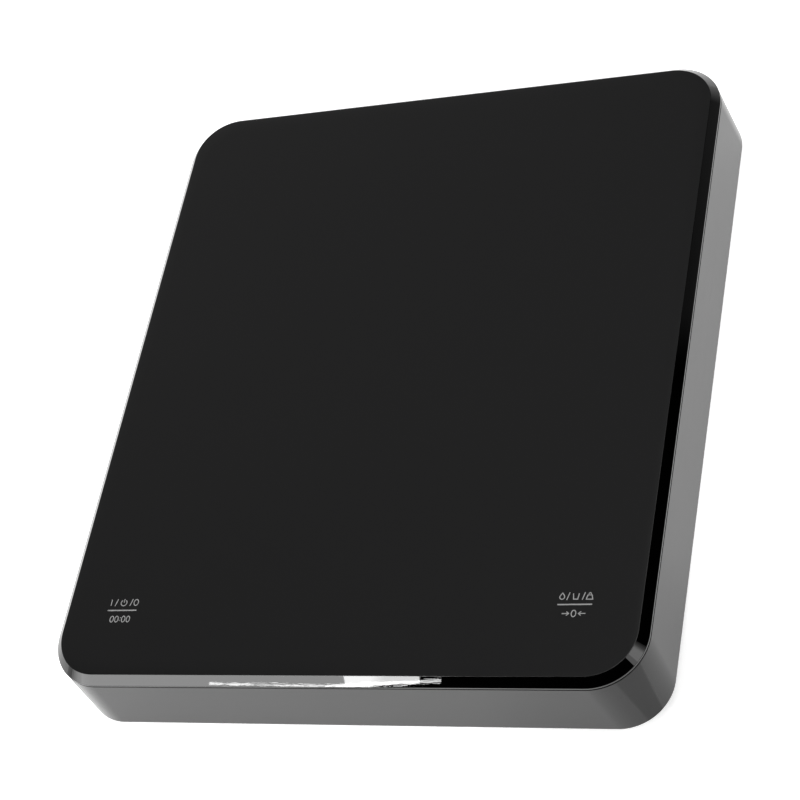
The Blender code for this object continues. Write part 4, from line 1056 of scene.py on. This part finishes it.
# %% The circuit boards
board = Finish("circuit_board", (0.02, 0.12, 0.05), 0.38)
pitch = 1.6 * MM
lane = abs((board.x / pitch).fraction() - 0.5)
cross_lane = abs((board.y / pitch).fraction() - 0.5)
fields = board.cells(6 * MM).between(0.48, 0.52)
trace = lane.between(0.16, 0.12) * fields + cross_lane.between(0.16, 0.12) * (1 - fields)
weave = board.noise(0.4 * MM, 1.0)
mask_green = board.mixed(trace, (0.008, 0.07, 0.028), (0.03, 0.16, 0.06))
board.set("Base Color", board.mixed(weave * 0.3, mask_green, (0.02, 0.1, 0.05)))
board.set("Roughness", 0.32 + 0.1 * weave)
board.relief(trace + 0.1 * weave, 0.03 * MM)
finishes["circuit_board"] = board

# %% Each inner piece and its finish
INNER = {
    "foam_tape": "panel_adhesive",
    "smoked_film": "display_filter",
    "display_resin": "led_display buzzer",
    "chip_resin": "processor_chip converter_chip charger_chip",
    "circuit_board": "main_board charge_board",
    "connector_nylon": "cell_connector charge_connector battery_connector charge_plug",
    "lead_jacket": "battery_lead charge_lead cell_lead",
    "battery_foil": "battery",
    "foam_pad": "battery_pad",
    "spring_steel": "key_spring_left key_spring_right",
    "plate_steel": "platform_plate upper_spacer lower_spacer",
    "screw_steel": "upper_cell_screw_1 upper_cell_screw_2 charge_screw_1 charge_screw_2",
    "cell_aluminium": "load_cell",
    "gauge_silicone": "gauge_cover_top gauge_cover_bottom",
}
for finish_name, names in INNER.items():
    finishes[finish_name].on(*(frame["nodes"][name] for name in names.split()))
numbered = [f"{kind}_screw_{number}" for kind in ("board", "plate") for number in range(1, 5)]
finishes["screw_steel"].on(*(frame["nodes"][name] for name in numbered))
finishes["screw_steel"].on(*(bpy.data.objects[f"{name}_threaded"] for name in lower_screws))
finishes["plate_steel"].on(socket)
finishes["display_resin"].on(tongue)
GOLD = ((0.7, 0.48, 0.18), (0.85, 0.62, 0.26))
gilt = plain_finish("contact_gilt", *GOLD, 0.25, 1.0, 0.2 * MM, EVEN, 0.002 * MM)
gilt.on(pads)
bare = [n for n, node in frame["nodes"].items() if not node.hide_render and not node.data.materials]
print("CAD nodes left without a finish:", bare)

# %% [markdown]
# ## The table
#
# The scale stands on a pale table that glows a little, like a sheet of lit opal acrylic. The glow
# fills the shadow at the scale's foot, and the glossy sides, which look down at the table, mirror
# it as an even grey. Near the front right corner the glow is turned down, a painted shadow on the
# table that the glossy corner mirrors as a darker patch. Seen from below the table lets everything
# through, so that the underside of the scale can be looked at.

# %% Make the table
TABLE_REACH = 6.0
TABLE_DROP = 0.2 * MM
TABLE_GLOW = 0.95
# how far the painted shadow at the front right corner lowers the table's glow
CORNER_PAINTED_SHADOW = 0.2
table_mesh = bpy.data.meshes.new("studio_floor")
table_corners = [(x, y, -TABLE_DROP) for x, y in mirrored(TABLE_REACH, TABLE_REACH)]
table_mesh.from_pydata(table_corners, [], [(0, 1, 2, 3)])
table = bpy.data.objects.new("studio_floor", table_mesh)
bpy.context.scene.collection.objects.link(table)
opal = Finish("opal_table", (0.86, 0.86, 0.86), 0.7, Specular_IOR_Level=0.2)
opal.shader.inputs["Emission Strength"].default_value = 1.0
# painted shadow: the glow is lowest within 10 mm of the front right corner and back to full by 45 mm, so the
# glossy corner mirrors a darker patch
off_x, off_y = opal.x - half_x, opal.y + half_y
outside_painted_shadow = (off_x * off_x + off_y * off_y).between((10 * MM) ** 2, (45 * MM) ** 2)
painted_shadow_glow, far_glow = ((level, level, level) for level in (TABLE_GLOW - CORNER_PAINTED_SHADOW, TABLE_GLOW))
opal.set("Emission Color", opal.mixed(outside_painted_shadow, painted_shadow_glow, far_glow))
opal_grain = opal.noise(60 * MM, 2.0)
opal.set("Base Color", opal.mixed(opal_grain, (0.85, 0.85, 0.85), (0.87, 0.87, 0.87)))
below = opal.node("ShaderNodeNewGeometry").outputs["Backfacing"]
clear = opal.node("ShaderNodeBsdfTransparent").outputs[0]
facing = opal.node("ShaderNodeMixShader", None, {0: below, 1: opal.shader.outputs[0], 2: clear})
opal.tree.links.new(facing.outputs[0], opal.tree.nodes["Material Output"].inputs["Surface"])
opal.on(table)

# %% [markdown]
# ## Studio light
#
# Black gloss shows its surroundings, so the lights are placed by what each surface mirrors. A wide
# soft light hangs overhead. A pale panel stands at the front left, where the front bevel looks, and
# three narrow bright strips at its edge give the white streak. A soft panel at the right shows in
# the bevel of the front right corner. Behind the scale a pale wall fades upwards into the dark, and
# a wide dim glow above it lights the weighing face.

# %% Lights
def soft_light(name, azimuth, elevation, distance, size, radiance, roll=0.0):
    """An area light that faces the scale. Azimuth is counterclockwise from +X, in degrees. Its
    power is radiance * area * pi, which is what gives a flat light that brightness."""
    a, e = math.radians(azimuth), math.radians(elevation)
    back = np.array([math.cos(a) * math.cos(e), math.sin(a) * math.cos(e), math.sin(e)])
    data = bpy.data.lights.new(name, "AREA")
    data.shape, data.size, data.size_y = "RECTANGLE", *size
    data.energy = radiance * size[0] * size[1] * math.pi
    light = bpy.data.objects.new(name, data)
    right = np.array([-math.sin(a), math.cos(a), 0.0])
    up = np.cross(back, right)
    r = math.radians(roll)
    tilted_right = right * math.cos(r) + up * math.sin(r)
    tilted_up = up * math.cos(r) - right * math.sin(r)
    stand(light, tilted_right, tilted_up, back * distance)
    light.visible_camera = False
    print(f"{name}: {data.energy:.2f} W")
    return light


def fading_light(name, edge, full, dark, elevation, distance, height, radiance, steps=6):
    """A pale panel with one sharp edge and one soft one, made of lights that lie over each other.
    All start at the azimuth called edge, and they end at steps between full and dark."""
    for step in range(steps):
        end = full + (dark - full) * (step + 0.5) / steps
        half_turn = math.radians(abs(end - edge) / 2)
        width = 2 * distance * math.cos(math.radians(elevation)) * math.tan(half_turn)
        part = f"{name}_{step + 1}"
        soft_light(part, (edge + end) / 2, elevation, distance, (width, height), radiance / steps)


soft_light("overhead_softbox", 60, 80, 1.3, (1.0, 0.8), 2.7)
fading_light("front_left_panel", -114.9, -141, -162, 23, 1.05, 0.68, 5.3)
fading_light("right_panel", -28.0, -9, 4, 26.5, 0.98, 0.26, 1.7)
fading_light("right_panel_core", -21, -12, -3, 26.5, 0.98, 0.26, 1.9)
STREAK = 14.0
soft_light("bright_strip", -114.27, 24.33, 1.05, (0.048, 0.016), STREAK, roll=16.6)
soft_light("bright_strip_tip", -114.16, 24.0, 1.05, (0.075, 0.0035), STREAK, roll=16.6)
soft_light("bright_strip_tail", -117.98, 23.15, 1.05, (0.09, 0.0024), STREAK, roll=10.4)

# %% World
world = bpy.data.worlds.new("studio_room")
bpy.context.scene.world = world
world.use_nodes = True
room = Bench(world.node_tree)
look = room.node("ShaderNodeTexCoord").outputs["Generated"]
rise = room.parts(look)[2]
WALL_TO = (math.cos(math.radians(124)), math.sin(math.radians(124)), 0.0)
SKY_TO = (-0.557, 0.663, 0.5)
WALL_TOP = 0.33  # the sine of the elevation at which the wall's glow ends
SKY_GLOW, BACKDROP = 0.9, 0.9


def facing_to(direction):
    """How far the look points a given way: the cosine of the angle between them."""
    dot = room.node("ShaderNodeVectorMath", {"operation": "DOT_PRODUCT"}, {0: look, 1: direction})
    return Level(room, dot.outputs["Value"])


wall_glow = (1 - rise / WALL_TOP).most(0.0) * facing_to(WALL_TO).between(0.0, 0.03)
sky_glow = SKY_GLOW * facing_to(SKY_TO).between(0.75, 1.0)
seen = Level(room, room.node("ShaderNodeLightPath").outputs["Is Camera Ray"])
background = world.node_tree.nodes["Background"]
background.inputs["Color"].default_value = (1.0, 1.0, 1.0, 1.0)
strength = seen * BACKDROP + (1 - seen) * (wall_glow + sky_glow)
world.node_tree.links.new(strength.socket, background.inputs["Strength"])
bpy.context.scene.view_settings.view_transform = "Standard"
print("the room is pale to the camera, and fades upwards for everything that mirrors it")
